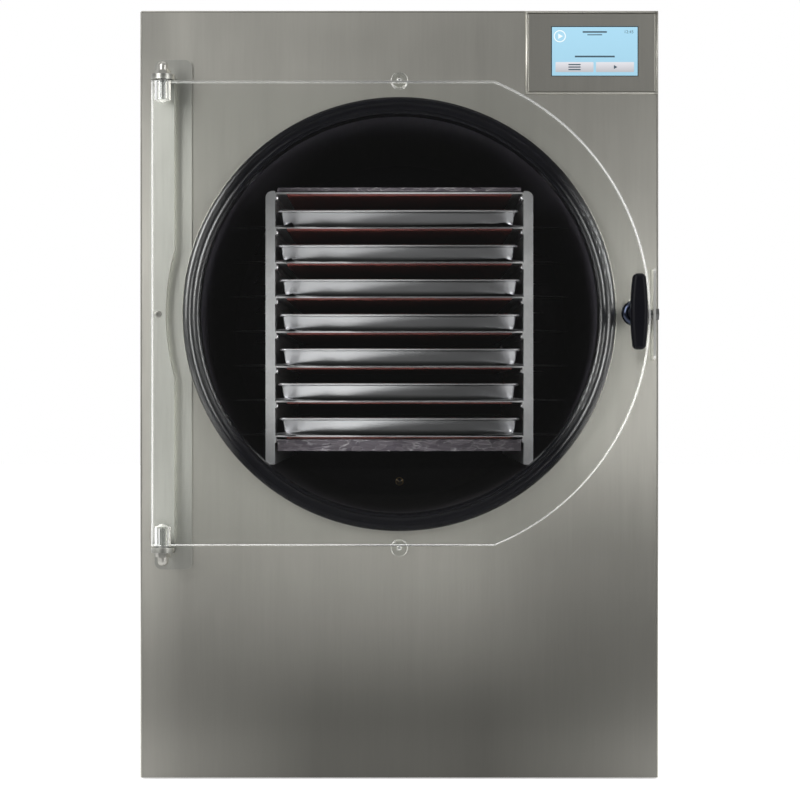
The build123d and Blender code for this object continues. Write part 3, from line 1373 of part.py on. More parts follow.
make_cabinet_wrap()
make_front_panel()
make_control_fascia()
make_touchscreen()
make_control_board()
make_rear_panel()
make_base_pan()
make_feet()
make_vacuum_chamber()
make_evaporator_coil()
make_chamber_insulation()
make_chamber_cradle()
make_door_gasket()
make_rack_side(-1, "rack_side_left")
make_rack_side(1, "rack_side_right")
make_shelves()
make_rack_rivets()
make_heater_mats()
make_trays()
make_foil("foil_top", SHELF_TOP + FOIL_T, FOIL_T)
make_foil("foil_bottom", shelf_height(SHELVES - 1) - SHELF_T - MAT_T, FOIL_BOTTOM_T)
make_hinge_base_plate()
make_hinge_bracket()
make_hinge_pins()
make_hinge_nuts()
make_door_panel()
make_door_bushes()
make_door_bumpers()
make_latch_rosette()
make_latch_shaft()
make_latch_handle()
make_latch_pawl()
make_strike_bracket()
make_strike_bolt()
make_strike_roller()
make_compressor()
make_condenser_coil()
make_fan_shroud()
make_fan_motor()
make_fan_rotor()
make_vacuum_port()
make_drain_valve()
make_drain_lever()
make_power_inlet()
make_pump_outlet()
make_power_switch_frame()
make_power_switch_rocker()
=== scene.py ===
"""Looks of the freeze dryer: finishes for every node, and the trays, foil, screen and small fasteners."""
import json
from math import atan2, cos, degrees, radians, sin, tan

import bmesh
import bpy
from bpy.props import FloatProperty, FloatVectorProperty, IntProperty, PointerProperty
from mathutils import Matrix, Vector


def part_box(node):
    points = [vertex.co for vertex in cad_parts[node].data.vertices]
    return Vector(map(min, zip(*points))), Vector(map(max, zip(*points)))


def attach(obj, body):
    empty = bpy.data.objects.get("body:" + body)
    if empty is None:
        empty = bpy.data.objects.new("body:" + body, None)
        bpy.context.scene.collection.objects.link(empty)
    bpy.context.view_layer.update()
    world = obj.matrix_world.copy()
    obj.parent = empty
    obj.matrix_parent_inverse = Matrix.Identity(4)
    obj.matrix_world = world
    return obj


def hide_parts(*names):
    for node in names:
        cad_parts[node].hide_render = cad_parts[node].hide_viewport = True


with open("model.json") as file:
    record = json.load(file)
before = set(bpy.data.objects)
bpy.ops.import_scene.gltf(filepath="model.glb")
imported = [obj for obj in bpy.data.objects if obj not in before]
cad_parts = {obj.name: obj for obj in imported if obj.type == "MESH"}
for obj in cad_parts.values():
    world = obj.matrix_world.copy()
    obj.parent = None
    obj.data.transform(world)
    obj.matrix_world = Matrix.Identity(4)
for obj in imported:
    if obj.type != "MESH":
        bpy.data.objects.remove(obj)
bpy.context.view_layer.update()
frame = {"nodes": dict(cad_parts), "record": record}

bl_info = {
    "name": "Freeze Dryer Looks",
    "version": (1, 0, 0),
    "blender": (4, 5, 0),
    "location": "View3D > Sidebar > Freeze Dryer",
    "description": "Dresses the packed freeze dryer: trays, foil, screen, fasteners, finishes and a studio",
    "category": "Object",
}

SLOT_OF = {part["node"]: part["material_slot"] for part in frame["record"]["subparts"]}
OWN_FINISH = {"strike_bracket": "strike_steel", "strike_bolt": "bolt_steel", "strike_roller": "bolt_steel",
              "hinge_base_plate": "hinge_plate", "hinge_pins": "pin_steel"}
QUARTER = radians(90)
ROLL_STEPS = 4
FOOT_STEPS = 5
REAR_SCREW_ROWS = 5
ANY_WAY = (1.0, 1.0, 1.0)
BLACK = (0.0, 0.0, 0.0)
WHITE = (1.0, 1.0, 1.0)
USUAL_WEAR = 0.35
METAL_DUST = (0.42, 0.41, 0.38)
PLASTIC_DUST = (0.35, 0.34, 0.32)


# ---------------------------------------------------------------- settings

def length(name, description, default):
    """Property for a length in metres."""
    return FloatProperty(name=name, description=description, default=default, min=0.0, unit="LENGTH",
                         precision=4)


def colour(name, description, default):
    """Property for a colour."""
    return FloatVectorProperty(name=name, description=description, default=default, size=3, min=0.0, max=1.0,
                               subtype="COLOR")


def share(name, description, default):
    """Property for a share from 0 to 1."""
    return FloatProperty(name=name, description=description, default=default, min=0.0, max=1.0,
                         subtype="FACTOR")


def watts(name, description, default):
    """Property for a lamp's power."""
    return FloatProperty(name=name, description=description, default=default, min=0.0, unit="POWER")


class TraySettings(bpy.types.PropertyGroup):
    """Sizes of a tray's sheet and rolled rim."""
    rim_width: length("Rim width", "Flat width of the rim outside the pan", 0.005)
    rim_drop: length("Rim drop", "Height of the rim's turned-down edge", 0.0035)
    corner: length("Corner", "Radius of the rim's corners", 0.008)
    lean: length("Lean", "How far each wall leans in at the floor", 0.0035)
    sheet: length("Sheet", "Thickness of the sheet", 0.001)
    foot: length("Foot", "Radius between the walls and the floor", 0.0075)


class FoilSettings(bpy.types.PropertyGroup):
    """Crumple of the foil round the rack's insulation."""
    cuts: IntProperty(name="Cuts", description="How finely the foil is divided", default=70, min=10, max=150)
    side_cuts: IntProperty(name="Side cuts", description="How finely its edges are divided", default=3, min=1)
    crumple: length("Crumple", "Height of the creases", 0.0016)
    crease: length("Crease size", "Distance between the creases", 0.011)
    overhang: length("Overhang", "How far the foil stands out past the insulation's sides", 0.003)


class ScreenSettings(bpy.types.PropertyGroup):
    """Layout of the touch screen."""
    frame: length("Frame", "Width of the display's frame behind the fascia", 0.007)
    border: length("Border", "Width of the dark border round the picture", 0.0006)
    layer: length("Layer", "Thickness of one layer of the picture", 0.00006)
    margin: length("Margin", "From the picture's sides to the buttons", 0.0048)
    gap: length("Gap", "Between the two buttons", 0.003)
    button_height: length("Button height", "Height of the two buttons", 0.0119)
    button_corner: length("Button corner", "Radius of the buttons' corners", 0.0008)
    digit_height: length("Digit height", "Height of the clock's digits", 0.0036)
    ring: length("Ring", "Radius of the round mark", 0.0066)
    edge_seam: length("Edge seam", "How much wider the fascia's edge runs than the fascia", 0.0010)
    edge_round: length("Edge round", "Radius of the fascia's half-round edge", 0.0018)


class FastenerSettings(bpy.types.PropertyGroup):
    """Sizes of the small screws, rivets and contacts."""
    head: length("Screw head", "Radius of a panel screw's head", 0.004)
    bumper_head: length("Bumper screw head", "Radius of the head in a door bumper's recess", 0.0028)
    head_height: length("Head height", "Height of a panel screw's head", 0.0018)
    recess: length("Recess", "Depth of a door bumper's recess", 0.003)
    panel_inset: length("Panel inset", "From the rear panel's edge to its screws", 0.009)
    rivet: length("Rivet head", "Radius of a rivet's domed head", 0.0029)
    dome: length("Rivet dome", "Height of a rivet's domed head", 0.0026)
    grip: length("Rivet grip", "Thickness of the two sheets that a rivet holds", 0.003)
    ball: length("Ball", "Radius of the drain valve's ball", 0.0049)
    contact_pitch: length("Contact pitch", "From the middle contact to each side contact", 0.007)
    contact_rise: length("Contact rise", "Height of the middle contact over the inlet's middle", 0.003)
    contact_w: length("Contact width", "Width of a contact", 0.002)
    contact_h: length("Contact height", "Height of a contact", 0.006)
    contact_round: length("Contact round", "Bevel round a contact's tip", 0.0006)
    contact_skin: length("Contact skin", "Thickness of the plating round a contact", 0.00015)


class FinishSettings(bpy.types.PropertyGroup):
    """Colours of the main finishes."""
    steel: colour("Steel", "Brushed steel of the cabinet", (0.62, 0.607, 0.55))
    tray: colour("Tray", "Bright steel of the trays", (0.70, 0.70, 0.72))
    rubber: colour("Rubber", "Door gasket", (0.002, 0.002, 0.0032))
    # The near-black chamber colour is painted shade for the deep, unlit steel inside.
    chamber: colour("Chamber", "Inside of the chamber", (0.040, 0.036, 0.046))
    heater: colour("Heater", "Silicone heater mats", (0.17, 0.030, 0.024))
    sky: colour("Screen", "Top of the screen's picture", (0.41, 0.70, 0.87))
    wear: share("Wear", "Strength of bright worn edges", USUAL_WEAR)
    dust: share("Dust", "Strength of settled dust", 0.12)


class StudioSettings(bpy.types.PropertyGroup):
    """Camera, room and lamps."""
    distance: length("Distance", "From the camera to the cabinet's front", 2.55)
    eye: length("Eye height", "Height of the camera", 0.4512)
    aside: length("Aside", "Camera's place right of the middle", 0.0008)
    span: length("Span", "Width that the view takes in at the cabinet's front", 0.9515)
    room: share("Room", "Level of the room's light", 0.62)
    flag: share("Dark flag", "Level of the dark area behind the camera", 0.062)
    key: watts("Key lamp", "Power of the lamp at the front left", 72.0)
    fill: watts("Fill lamp", "Power of the lamp at the front right", 32.0)
    top: watts("Top lamp", "Power of the lamp overhead", 16.0)
    back: watts("Back lamp", "Power of the lamp behind", 12.0)


# ---------------------------------------------------------------- modelling helpers

def box_size(node):
    """Lowest corner, highest corner, middle and size of a node."""
    low, high = (Vector(corner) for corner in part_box(node))
    return low, high, (low + high) / 2, high - low


def count_of(start):
    """How many nodes have names that begin with a word."""
    return sum(1 for node in frame["nodes"] if node.startswith(start))


def clear_selection():
    """Leave edit mode and deselect everything."""
    if bpy.context.mode != "OBJECT":
        bpy.ops.object.mode_set(mode="OBJECT")
    bpy.ops.object.select_all(action="DESELECT")


def select_only(*objects):
    """Select these objects alone, with the first one active."""
    clear_selection()
    for one in objects:
        one.select_set(True)
    bpy.context.view_layer.objects.active = objects[0]


def start_shape(name):
    """Name the primitive just added, apply its place, turn and size, and open it for editing."""
    shape = bpy.context.object
    shape.name = name
    shape.data.name = name
    bpy.ops.object.transform_apply(location=True, rotation=True, scale=True)
    bpy.ops.object.mode_set(mode="EDIT")
    return shape


def add_block(name, centre, size):
    """Add a block and open it for editing."""
    clear_selection()
    bpy.ops.mesh.primitive_cube_add(size=1.0, location=centre)
    bpy.context.object.scale = size
    return start_shape(name)


def add_sheet(name, centre, width, height, turn=(0, 0, 0)):
    """Add a flat sheet and open it for editing."""
    clear_selection()
    bpy.ops.mesh.primitive_plane_add(size=1.0, location=centre, rotation=turn)
    bpy.context.object.scale = (width, height, 1.0)
    return start_shape(name)


def add_rod(name, centre, radius, depth, sides, turn):
    """Add a rod and open it for editing. It stands upright before its turn."""
    clear_selection()
    bpy.ops.mesh.primitive_cylinder_add(vertices=sides, radius=radius, depth=depth, location=centre,
                                        rotation=turn)
    return start_shape(name)


def pick(shape, kind, test):
    """In edit mode, select what passes a test on its middle and its normal, or an edge's direction."""
    bpy.ops.mesh.select_all(action="DESELECT")
    mesh = bmesh.from_edit_mesh(shape.data)
    bpy.context.tool_settings.mesh_select_mode = (kind == "VERT", kind == "EDGE", kind == "FACE")
    mesh.select_mode = {kind}
    elements = {"FACE": mesh.faces, "EDGE": mesh.edges, "VERT": mesh.verts}[kind]
    for element in elements:
        if kind == "FACE":
            chosen = test(element.calc_center_median(), element.normal)
        elif kind == "EDGE":
            start, end = (corner.co for corner in element.verts)
            chosen = test((start + end) / 2, start - end)
        else:
            chosen = test(element.co, element.normal)
        element.select_set(chosen)
    mesh.select_flush_mode()
    bmesh.update_edit_mesh(shape.data)


def apply_modifier(shape, kind, **values):
    """Add a modifier, set it and apply it."""
    if bpy.context.mode != "OBJECT":
        bpy.ops.object.mode_set(mode="OBJECT")
    bpy.context.view_layer.objects.active = shape
    modifier = shape.modifiers.new(kind.lower(), kind)
    for key, value in values.items():
        setattr(modifier, key, value)
    bpy.ops.object.modifier_apply(modifier=modifier.name)


def close_shape(shape, angle=40.0):
    """Weld doubles, turn the normals outwards and smooth by angle."""
    if bpy.context.mode != "EDIT":
        select_only(shape)
        bpy.ops.object.mode_set(mode="EDIT")
    bpy.ops.mesh.select_all(action="SELECT")
    bpy.ops.mesh.remove_doubles(threshold=1e-6)
    bpy.ops.mesh.normals_make_consistent(inside=False)
    bpy.ops.object.mode_set(mode="OBJECT")
    select_only(shape)
    bpy.ops.object.shade_smooth_by_angle(angle=radians(angle))


def copy_shape(shape, name, shift):
    """Copy of a shape with its own mesh, moved in its mesh."""
    copy = shape.copy()
    copy.data = shape.data.copy()
    copy.name = name
    copy.data.name = name
    bpy.context.collection.objects.link(copy)
    select_only(copy)
    copy.location = shift
    bpy.ops.object.transform_apply(location=True, rotation=True, scale=True)
    return copy


def join_shapes(name, shapes):
    """Join shapes into one piece."""
    select_only(*shapes)
    bpy.ops.object.join()
    joined = bpy.context.object
    joined.name = name
    joined.data.name = name
    bpy.ops.object.transform_apply(location=True, rotation=True, scale=True)
    return joined


def mark_out(shape, count, step):
    """Repeat a shape in a row."""
    apply_modifier(shape, "ARRAY", use_relative_offset=False, use_constant_offset=True, count=count,
                   constant_offset_displace=step)


def cut_out(shape, cutter):
    """Cut one shape out of another and take the cutter away."""
    close_shape(cutter)
    apply_modifier(shape, "BOOLEAN", object=cutter, operation="DIFFERENCE", solver="EXACT")
    bpy.data.meshes.remove(cutter.data)
    close_shape(shape, 50.0)


def first_surface(node, x, z, start, facing):
    """Depth at which a line along Y first meets a node. Facing is 1 for a line from the front."""
    shape = frame["nodes"][node]
    found, where, _normal, _face = shape.ray_cast(Vector((x, start, z)), Vector((0, facing, 0)))
    if not found:
        raise RuntimeError(f"Nothing of {node} lies at {x:.3f}, {z:.3f}")
    return where.y


def dress(piece, body, slot, replaced=(), finish=None):
    """Give a piece its body and its finish, which is that of its record slot if none is named."""
    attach(piece, body)
    piece.data.materials.clear()
    piece.data.materials.append(bpy.data.materials[finish or slot])
    if replaced:
        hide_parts(*replaced)


# ---------------------------------------------------------------- node helpers

def plug(tree, socket, value):
    """Link a socket to another one, or set its value."""
    if isinstance(value, bpy.types.NodeSocket):
        tree.links.new(value, socket)
    elif isinstance(value, (tuple, list)) and len(value) == 3 and len(socket.default_value) == 4:
        socket.default_value = (*value, 1.0)
    else:
        socket.default_value = value


def put(tree, kind, inputs=None, **settings):
    """Add a node, set its options and fill its inputs."""
    made = tree.nodes.new("ShaderNode" + kind)
    for key, value in settings.items():
        setattr(made, key, value)
    for key, value in (inputs or {}).items():
        plug(tree, made.inputs[key], value)
    return made


def place(tree, group, inputs):
    """Add a node group with its own values."""
    made = tree.nodes.new("ShaderNodeGroup")
    made.node_tree = bpy.data.node_groups[group]
    for key, value in inputs.items():
        plug(tree, made.inputs[key], value)
    return made


def math(tree, operation, first, second=0.0):
    """Result of a calculation with two values or sockets."""
    made = put(tree, "Math", operation=operation)
    plug(tree, made.inputs[0], first)
    plug(tree, made.inputs[1], second)
    return made.outputs[0]


def spread(tree, value, low, high, to_low, to_high, smooth=False):
    """Map a value from one range to another, clamped."""
    kind = "SMOOTHSTEP" if smooth else "LINEAR"
    made = put(tree, "MapRange", {"Value": value, "From Min": low, "From Max": high, "To Min": to_low,
                                  "To Max": to_high}, interpolation_type=kind, clamp=True)
    return made.outputs["Result"]


def blend(tree, factor, first, second, how="MIX"):
    """Mix two colours."""
    made = put(tree, "Mix", data_type="RGBA", blend_type=how, clamp_factor=True)
    plug(tree, made.inputs[0], factor)
    plug(tree, made.inputs[6], first)
    plug(tree, made.inputs[7], second)
    return made.outputs[2]


def object_place(tree, scale=ANY_WAY, turn=(0.0, 0.0, 0.0)):
    """Object coordinates, scaled and turned."""
    where = put(tree, "TexCoord").outputs["Object"]
    return put(tree, "Mapping", {"Vector": where, "Scale": scale, "Rotation": turn}).outputs["Vector"]


def coordinate(tree, axis):
    """Place along one axis of Object coordinates."""
    return put(tree, "SeparateXYZ", {"Vector": object_place(tree)}).outputs[axis]


def grey(tree, light_and_shade):
    """Grey of a value."""
    return put(tree, "CombineColor", {"Red": light_and_shade, "Green": light_and_shade, "Blue": light_and_shade}).outputs["Color"]


def shaded(tint, factor):
    """Colour made darker or lighter by a factor."""
    return tuple(min(1.0, factor * channel) for channel in tint)


def noise(tree, vector, scale, detail=3.0, roughness=0.5):
    """Noise value."""
    return put(tree, "TexNoise", {"Vector": vector, "Scale": scale, "Detail": detail, "Roughness": roughness}
               ).outputs["Fac"]


def bump(tree, height, strength, distance):
    """Normal from a height."""
    return put(tree, "Bump", {"Height": height, "Strength": strength, "Distance": distance}).outputs["Normal"]


def new_group(name, inputs, outputs):
    """Empty node group with its sockets: returns the group, its input node and its output node."""
    group = bpy.data.node_groups.new(name, "ShaderNodeTree")
    for label, kind, default in inputs:
        socket = group.interface.new_socket(label, in_out="INPUT", socket_type="NodeSocket" + kind)
        if default is not None:
            socket.default_value = default
    for label, kind in outputs:
        group.interface.new_socket(label, in_out="OUTPUT", socket_type="NodeSocket" + kind)
    return group, group.nodes.new("NodeGroupInput"), group.nodes.new("NodeGroupOutput")


def new_material(name, **values):
    """Node material with a Principled shader and its constant values: returns its tree and shader."""
    if name in bpy.data.materials:
        bpy.data.materials[name].name = f"packed_{name}"
    material = bpy.data.materials.new(name)
    material.use_nodes = True
    tree = material.node_tree
    shader = tree.nodes["Principled BSDF"]
    feed(tree, shader, **values)
    return tree, shader


def feed(tree, shader, **values):
    """Fill a shader's inputs, each under its own name with underscores for spaces."""
    for key, value in values.items():
        plug(tree, shader.inputs[key.replace("_", " ").title().replace("Ior", "IOR")], value)


# ---------------------------------------------------------------- shared effects

def make_brushed_grain():
    """Group: fine and broad scratches along a stretched direction."""
    group, given, result = new_group("Brushed Grain", [("Vector", "Vector", None), ("Scale", "Float", 60.0)],
                                     [("Streak", "Float"), ("Height", "Float")])
    vector = given.outputs["Vector"]
    fine = put(group, "TexNoise", {"Vector": vector, "Scale": given.outputs["Scale"], "Detail": 4.0,
                                   "Roughness": 0.65})
    broad_scale = math(group, "MULTIPLY", given.outputs["Scale"], 0.17)
    broad = put(group, "TexNoise", {"Vector": vector, "Scale": broad_scale, "Detail": 2.0, "Roughness": 0.5})
    both = math(group, "ADD", math(group, "MULTIPLY", fine.outputs["Fac"], 0.65),
                math(group, "MULTIPLY", broad.outputs["Fac"], 0.35))
    plug(group, result.inputs["Streak"], spread(group, both, 0.32, 0.68, 0.0, 1.0))
    plug(group, result.inputs["Height"], fine.outputs["Fac"])


def make_edge_wear():
    """Group: mask of the edges where handling has brightened a surface."""
    group, given, result = new_group("Edge Wear", [("Radius", "Float", 0.0006), ("Amount", "Float", 0.5)],
                                     [("Mask", "Float")])
    rounded = put(group, "Bevel", {"Radius": given.outputs["Radius"]}, samples=4)
    flat = put(group, "NewGeometry").outputs["Normal"]
    near = put(group, "VectorMath", operation="DOT_PRODUCT")
    plug(group, near.inputs[0], rounded.outputs["Normal"])
    plug(group, near.inputs[1], flat)
    edge = spread(group, near.outputs["Value"], 0.80, 0.995, 1.0, 0.0)
    patch = noise(group, put(group, "TexCoord").outputs["Object"], 90.0, 4.0, 0.6)
    worn = math(group, "MULTIPLY", edge, spread(group, patch, 0.35, 0.6, 0.3, 1.0))
    plug(group, result.inputs["Mask"], math(group, "MULTIPLY", worn, given.outputs["Amount"]))


def make_settled_dust():
    """Group: mask of the dust that lies on faces that look up."""
    group, given, result = new_group("Settled Dust", [("Amount", "Float", 0.2)], [("Mask", "Float")])
    up = put(group, "SeparateXYZ", {"Vector": put(group, "NewGeometry").outputs["Normal"]}).outputs["Z"]
    lying = spread(group, up, 0.35, 0.95, 0.0, 1.0, smooth=True)
    where = put(group, "TexCoord").outputs["Object"]
    drift = spread(group, noise(group, where, 9.0, 5.0, 0.6), 0.3, 0.7, 0.35, 1.0)
    grain = spread(group, noise(group, where, 420.0, 2.0, 0.7), 0.4, 0.6, 0.6, 1.0)
    mask = math(group, "MULTIPLY", math(group, "MULTIPLY", lying, drift), grain)
    plug(group, result.inputs["Mask"], math(group, "MULTIPLY", mask, given.outputs["Amount"]))


def make_smudge():
    """Group: soft uneven patches, as hands and wiping leave."""
    group, given, result = new_group("Smudge", [("Scale", "Float", 7.0), ("Contrast", "Float", 1.0)],
                                     [("Value", "Float")])
    where = put(group, "TexCoord").outputs["Object"]
    cloud = put(group, "TexNoise", {"Vector": where, "Scale": given.outputs["Scale"], "Detail": 4.0,
                                    "Roughness": 0.55, "Distortion": 0.4}).outputs["Fac"]
    centred = math(group, "SUBTRACT", cloud, 0.5)
    plug(group, result.inputs["Value"], math(group, "MULTIPLY", centred, given.outputs["Contrast"]))


# ---------------------------------------------------------------- finishes

def brushed(name, tint, roughness, grain, scale=60.0, contrast=0.12, wear=0.3, light_and_shade=None, metallic=1.0):
    """Brushed or satin metal. The grain is the scale of Object coordinates that draws the scratches out."""
    settings = bpy.context.scene.dryer_finish
    tree, shader = new_material(name, metallic=metallic)
    streaks = place(tree, "Brushed Grain", {"Vector": object_place(tree, grain), "Scale": scale})
    smudge = place(tree, "Smudge", {"Scale": 6.0, "Contrast": 1.0}).outputs["Value"]
    base = blend(tree, streaks.outputs["Streak"], shaded(tint, 1 - contrast), shaded(tint, 1 + contrast))
    # A function given here multiplies painted light and shade into the base colour.
    if light_and_shade is not None:
        base = blend(tree, 1.0, base, light_and_shade(tree), "MULTIPLY")
    base = worn_edges(tree, base, 0.0007, wear * settings.wear / USUAL_WEAR, shaded(tint, 1.5))
    rough = math(tree, "ADD", roughness, math(tree, "MULTIPLY", streaks.outputs["Streak"], 0.5 * contrast))
    rough = math(tree, "ADD", rough, math(tree, "MULTIPLY", smudge, 0.06))
    lay_dust(tree, shader, base, rough, settings.dust, METAL_DUST)
    feed(tree, shader, normal=bump(tree, streaks.outputs["Height"], contrast, 0.0002))


def moulded(name, tint, roughness, grain_scale=900.0, relief=0.15, lift=1.5, coat=0.0, shine=0.5, dusty=1.0):
    """Moulded plastic or rubber: fine skin grain, soft patches of gloss, dust and paler worn edges."""
    settings = bpy.context.scene.dryer_finish
    tree, shader = new_material(name, coat_weight=coat, specular_ior_level=shine)
    skin = noise(tree, object_place(tree), grain_scale, 3.0, 0.6)
    smudge = place(tree, "Smudge", {"Scale": 22.0, "Contrast": 1.0}).outputs["Value"]
    base = blend(tree, skin, shaded(tint, 0.85), shaded(tint, 1.15))
    base = worn_edges(tree, base, 0.0005, settings.wear, shaded(tint, lift))
    rough = math(tree, "ADD", roughness, math(tree, "MULTIPLY", smudge, 0.25))
    lay_dust(tree, shader, base, rough, dusty * settings.dust, PLASTIC_DUST)
    feed(tree, shader, normal=bump(tree, skin, relief, 0.0003))
    return tree, shader


def worn_edges(tree, base, radius, amount, bright):
    """Base colour with its edges worn to a brighter colour."""
    worn = place(tree, "Edge Wear", {"Radius": radius, "Amount": amount}).outputs["Mask"]
    return blend(tree, worn, base, bright)


def lay_dust(tree, shader, base, rough, amount, dust_colour):
    """Lay dust over a base colour and roughness, and feed both to the shader."""
    dust = place(tree, "Settled Dust", {"Amount": amount}).outputs["Mask"]
    feed(tree, shader, base_color=blend(tree, dust, base, dust_colour),
         roughness=math(tree, "ADD", rough, math(tree, "MULTIPLY", dust, 0.3)))


def painted_front_light(tree):
    """Painted light and shade over the cabinet: a slow change from light along the upper left to dark towards
    the lower middle.
    """
    # Every term below is painted light and shade, not the steel's own colour.
    across, up = coordinate(tree, "X"), coordinate(tree, "Z")
    rise = math(tree, "ADD", spread(tree, up, 0.06, 0.42, 0.14, 1.2, smooth=True),
                spread(tree, up, 0.60, 0.90, 0.0, -0.35, smooth=True))
    brow = spread(tree, up, 0.72, 0.90, 1.0, -0.9, smooth=True)
    rim = math(tree, "MULTIPLY", spread(tree, across, -0.30, -0.25, 0.28, 0.0, smooth=True), brow)
    left = math(tree, "ADD", rim, spread(tree, across, -0.23, -0.10, -0.11, 0.0, smooth=True))
    # On the right half: painted shade low down, and painted light at mid height that lifts the shadow of the
    # handle and gasket.
    lift = math(tree, "ADD", spread(tree, up, 0.27, 0.47, -0.38, 0.32, smooth=True),
                spread(tree, up, 0.56, 0.72, 0.0, -0.46, smooth=True))
    right = math(tree, "MULTIPLY", spread(tree, across, 0.02, 0.25, 0.0, 1.0, smooth=True), lift)
    sway = math(tree, "ADD", 1.0, math(tree, "ADD", left, right))
    corner = math(tree, "MULTIPLY", spread(tree, math(tree, "ABSOLUTE", across), 0.10, 0.31, 0.0, 1.0),
                  spread(tree, up, 0.0, 0.22, 0.19, 0.0, smooth=True))
    return grey(tree, math(tree, "ADD", math(tree, "MULTIPLY", rise, sway), corner))


def painted_trim_shade(tree):
    """Painted shade on the fascia's edge: bright along its left and foot, darker along its head and right."""
    _low, high, _middle, _size = box_size("control_fascia")
    near = 0.004
    head = spread(tree, coordinate(tree, "Z"), high.z - near, high.z - near / 2, 1.0, 0.75)
    side = spread(tree, coordinate(tree, "X"), high.x - near, high.x - near / 2, 1.0, 0.6)
    return grey(tree, math(tree, "MULTIPLY", head, side))


def painted_end_shade(node, reach, dark):
    """Painted shade on an upright node, darker towards its two ends. Reach is how far that runs from each
    end.
    """
    low, high, _middle, _size = box_size(node)

    def shade_of(tree):
        up = coordinate(tree, "Z")
        foot = spread(tree, up, low.z, low.z + reach, dark, 1.0, smooth=True)
        head = spread(tree, up, high.z - reach, high.z, 1.0, dark, smooth=True)
        return grey(tree, math(tree, "MULTIPLY", foot, head))

    return shade_of


def make_steels():
    """Sheet steel of the cabinet, hinge, rack, trays and fittings."""
    settings = bpy.context.scene.dryer_finish
    steel = tuple(settings.steel)
    across = (0.06, 0.06, 1.0)
    upright = (1.0, 1.0, 0.04)
    # Painted shade towards the ends of the hinge bar's ears and of its base plate.
    ear_end_shade = painted_end_shade("hinge_bracket", 0.02, 0.3)
    plate_end_shade = painted_end_shade("hinge_base_plate", 0.16, 0.47)
    # The front steel carries painted light and shade over its whole face.
    brushed("front_steel", steel, 0.34, upright, 420.0, 0.03, 0.25, painted_front_light)
    brushed("fascia_steel", shaded(steel, 0.44), 0.40, upright, 420.0, 0.03, 0.0)
    # The fascia's edge carries painted shade along its head and right.
    brushed("fascia_trim", shaded(steel, 0.72), 0.36, upright, 420.0, 0.03, 0.0, painted_trim_shade)
    brushed("cabinet_steel", shaded(steel, 0.74), 0.36, upright, 420.0, 0.04, 0.3)
    brushed("hinge_steel", (0.76, 0.76, 0.70), 0.36, upright, 500.0, 0.05, 0.3, ear_end_shade)
    brushed("hinge_plate", (0.74, 0.74, 0.68), 0.36, upright, 500.0, 0.05, 0.3, plate_end_shade)
    brushed("pin_steel", (0.24, 0.24, 0.23), 0.5, ANY_WAY, 160.0, 0.06, 0.2)
    brushed("strike_steel", (0.52, 0.52, 0.50), 0.42, upright, 500.0, 0.05, 0.2)
    brushed("bolt_steel", (0.10, 0.10, 0.10), 0.40, upright, 500.0, 0.05, 0.2)
    brushed("rack_steel", (0.86, 0.86, 0.87), 0.38, (1.0, 0.05, 1.0), 400.0, 0.08, 1.0)
    brushed("tray_steel", tuple(settings.tray), 0.37, across, 420.0, 0.04, 1.0)
    brushed("hardware_steel", (0.33, 0.325, 0.30), 0.36, ANY_WAY, 160.0, 0.06, 0.5)
    brushed("fitting_steel", (0.60, 0.60, 0.58), 0.27, (1.0, 0.08, 1.0), 300.0, 0.08, 0.5)
    # Near-black and barely metallic: painted shade for the chamber's deep, unlit inside.
    brushed("chamber_steel", tuple(settings.chamber), 0.5, (1.0, 0.06, 1.0), 200.0, 0.15, 0.0, metallic=0.15)
    brushed("copper", (0.62, 0.30, 0.18), 0.30, ANY_WAY, 90.0, 0.15, 0.2)
    brushed("brass_fitting", (0.62, 0.44, 0.17), 0.28, (1.0, 0.1, 1.0), 260.0, 0.10, 0.4)
    brushed("condenser_fins", (0.58, 0.59, 0.60), 0.30, (1.0, 0.3, 0.05), 260.0, 0.15, 0.3)
    brushed("rosette_metal", (0.030, 0.036, 0.055), 0.16, ANY_WAY, 120.0, 0.10, 1.0)


def make_galvanised():
    """Zinc-coated steel of the base pan, cradle and shroud, with its spangle."""
    tree, shader = new_material("frame_steel", metallic=1.0)
    where = object_place(tree)
    spangle = put(tree, "TexVoronoi", {"Vector": where, "Scale": 95.0, "Randomness": 1.0})
    value = put(tree, "SeparateColor", {"Color": spangle.outputs["Color"]}).outputs["Red"]
    base = blend(tree, value, (0.44, 0.46, 0.48), (0.60, 0.61, 0.62))
    dust = place(tree, "Settled Dust", {"Amount": bpy.context.scene.dryer_finish.dust}).outputs["Mask"]
    feed(tree, shader, base_color=blend(tree, dust, base, METAL_DUST),
         roughness=spread(tree, value, 0.0, 1.0, 0.32, 0.5), normal=bump(tree, value, 0.08, 0.0002))


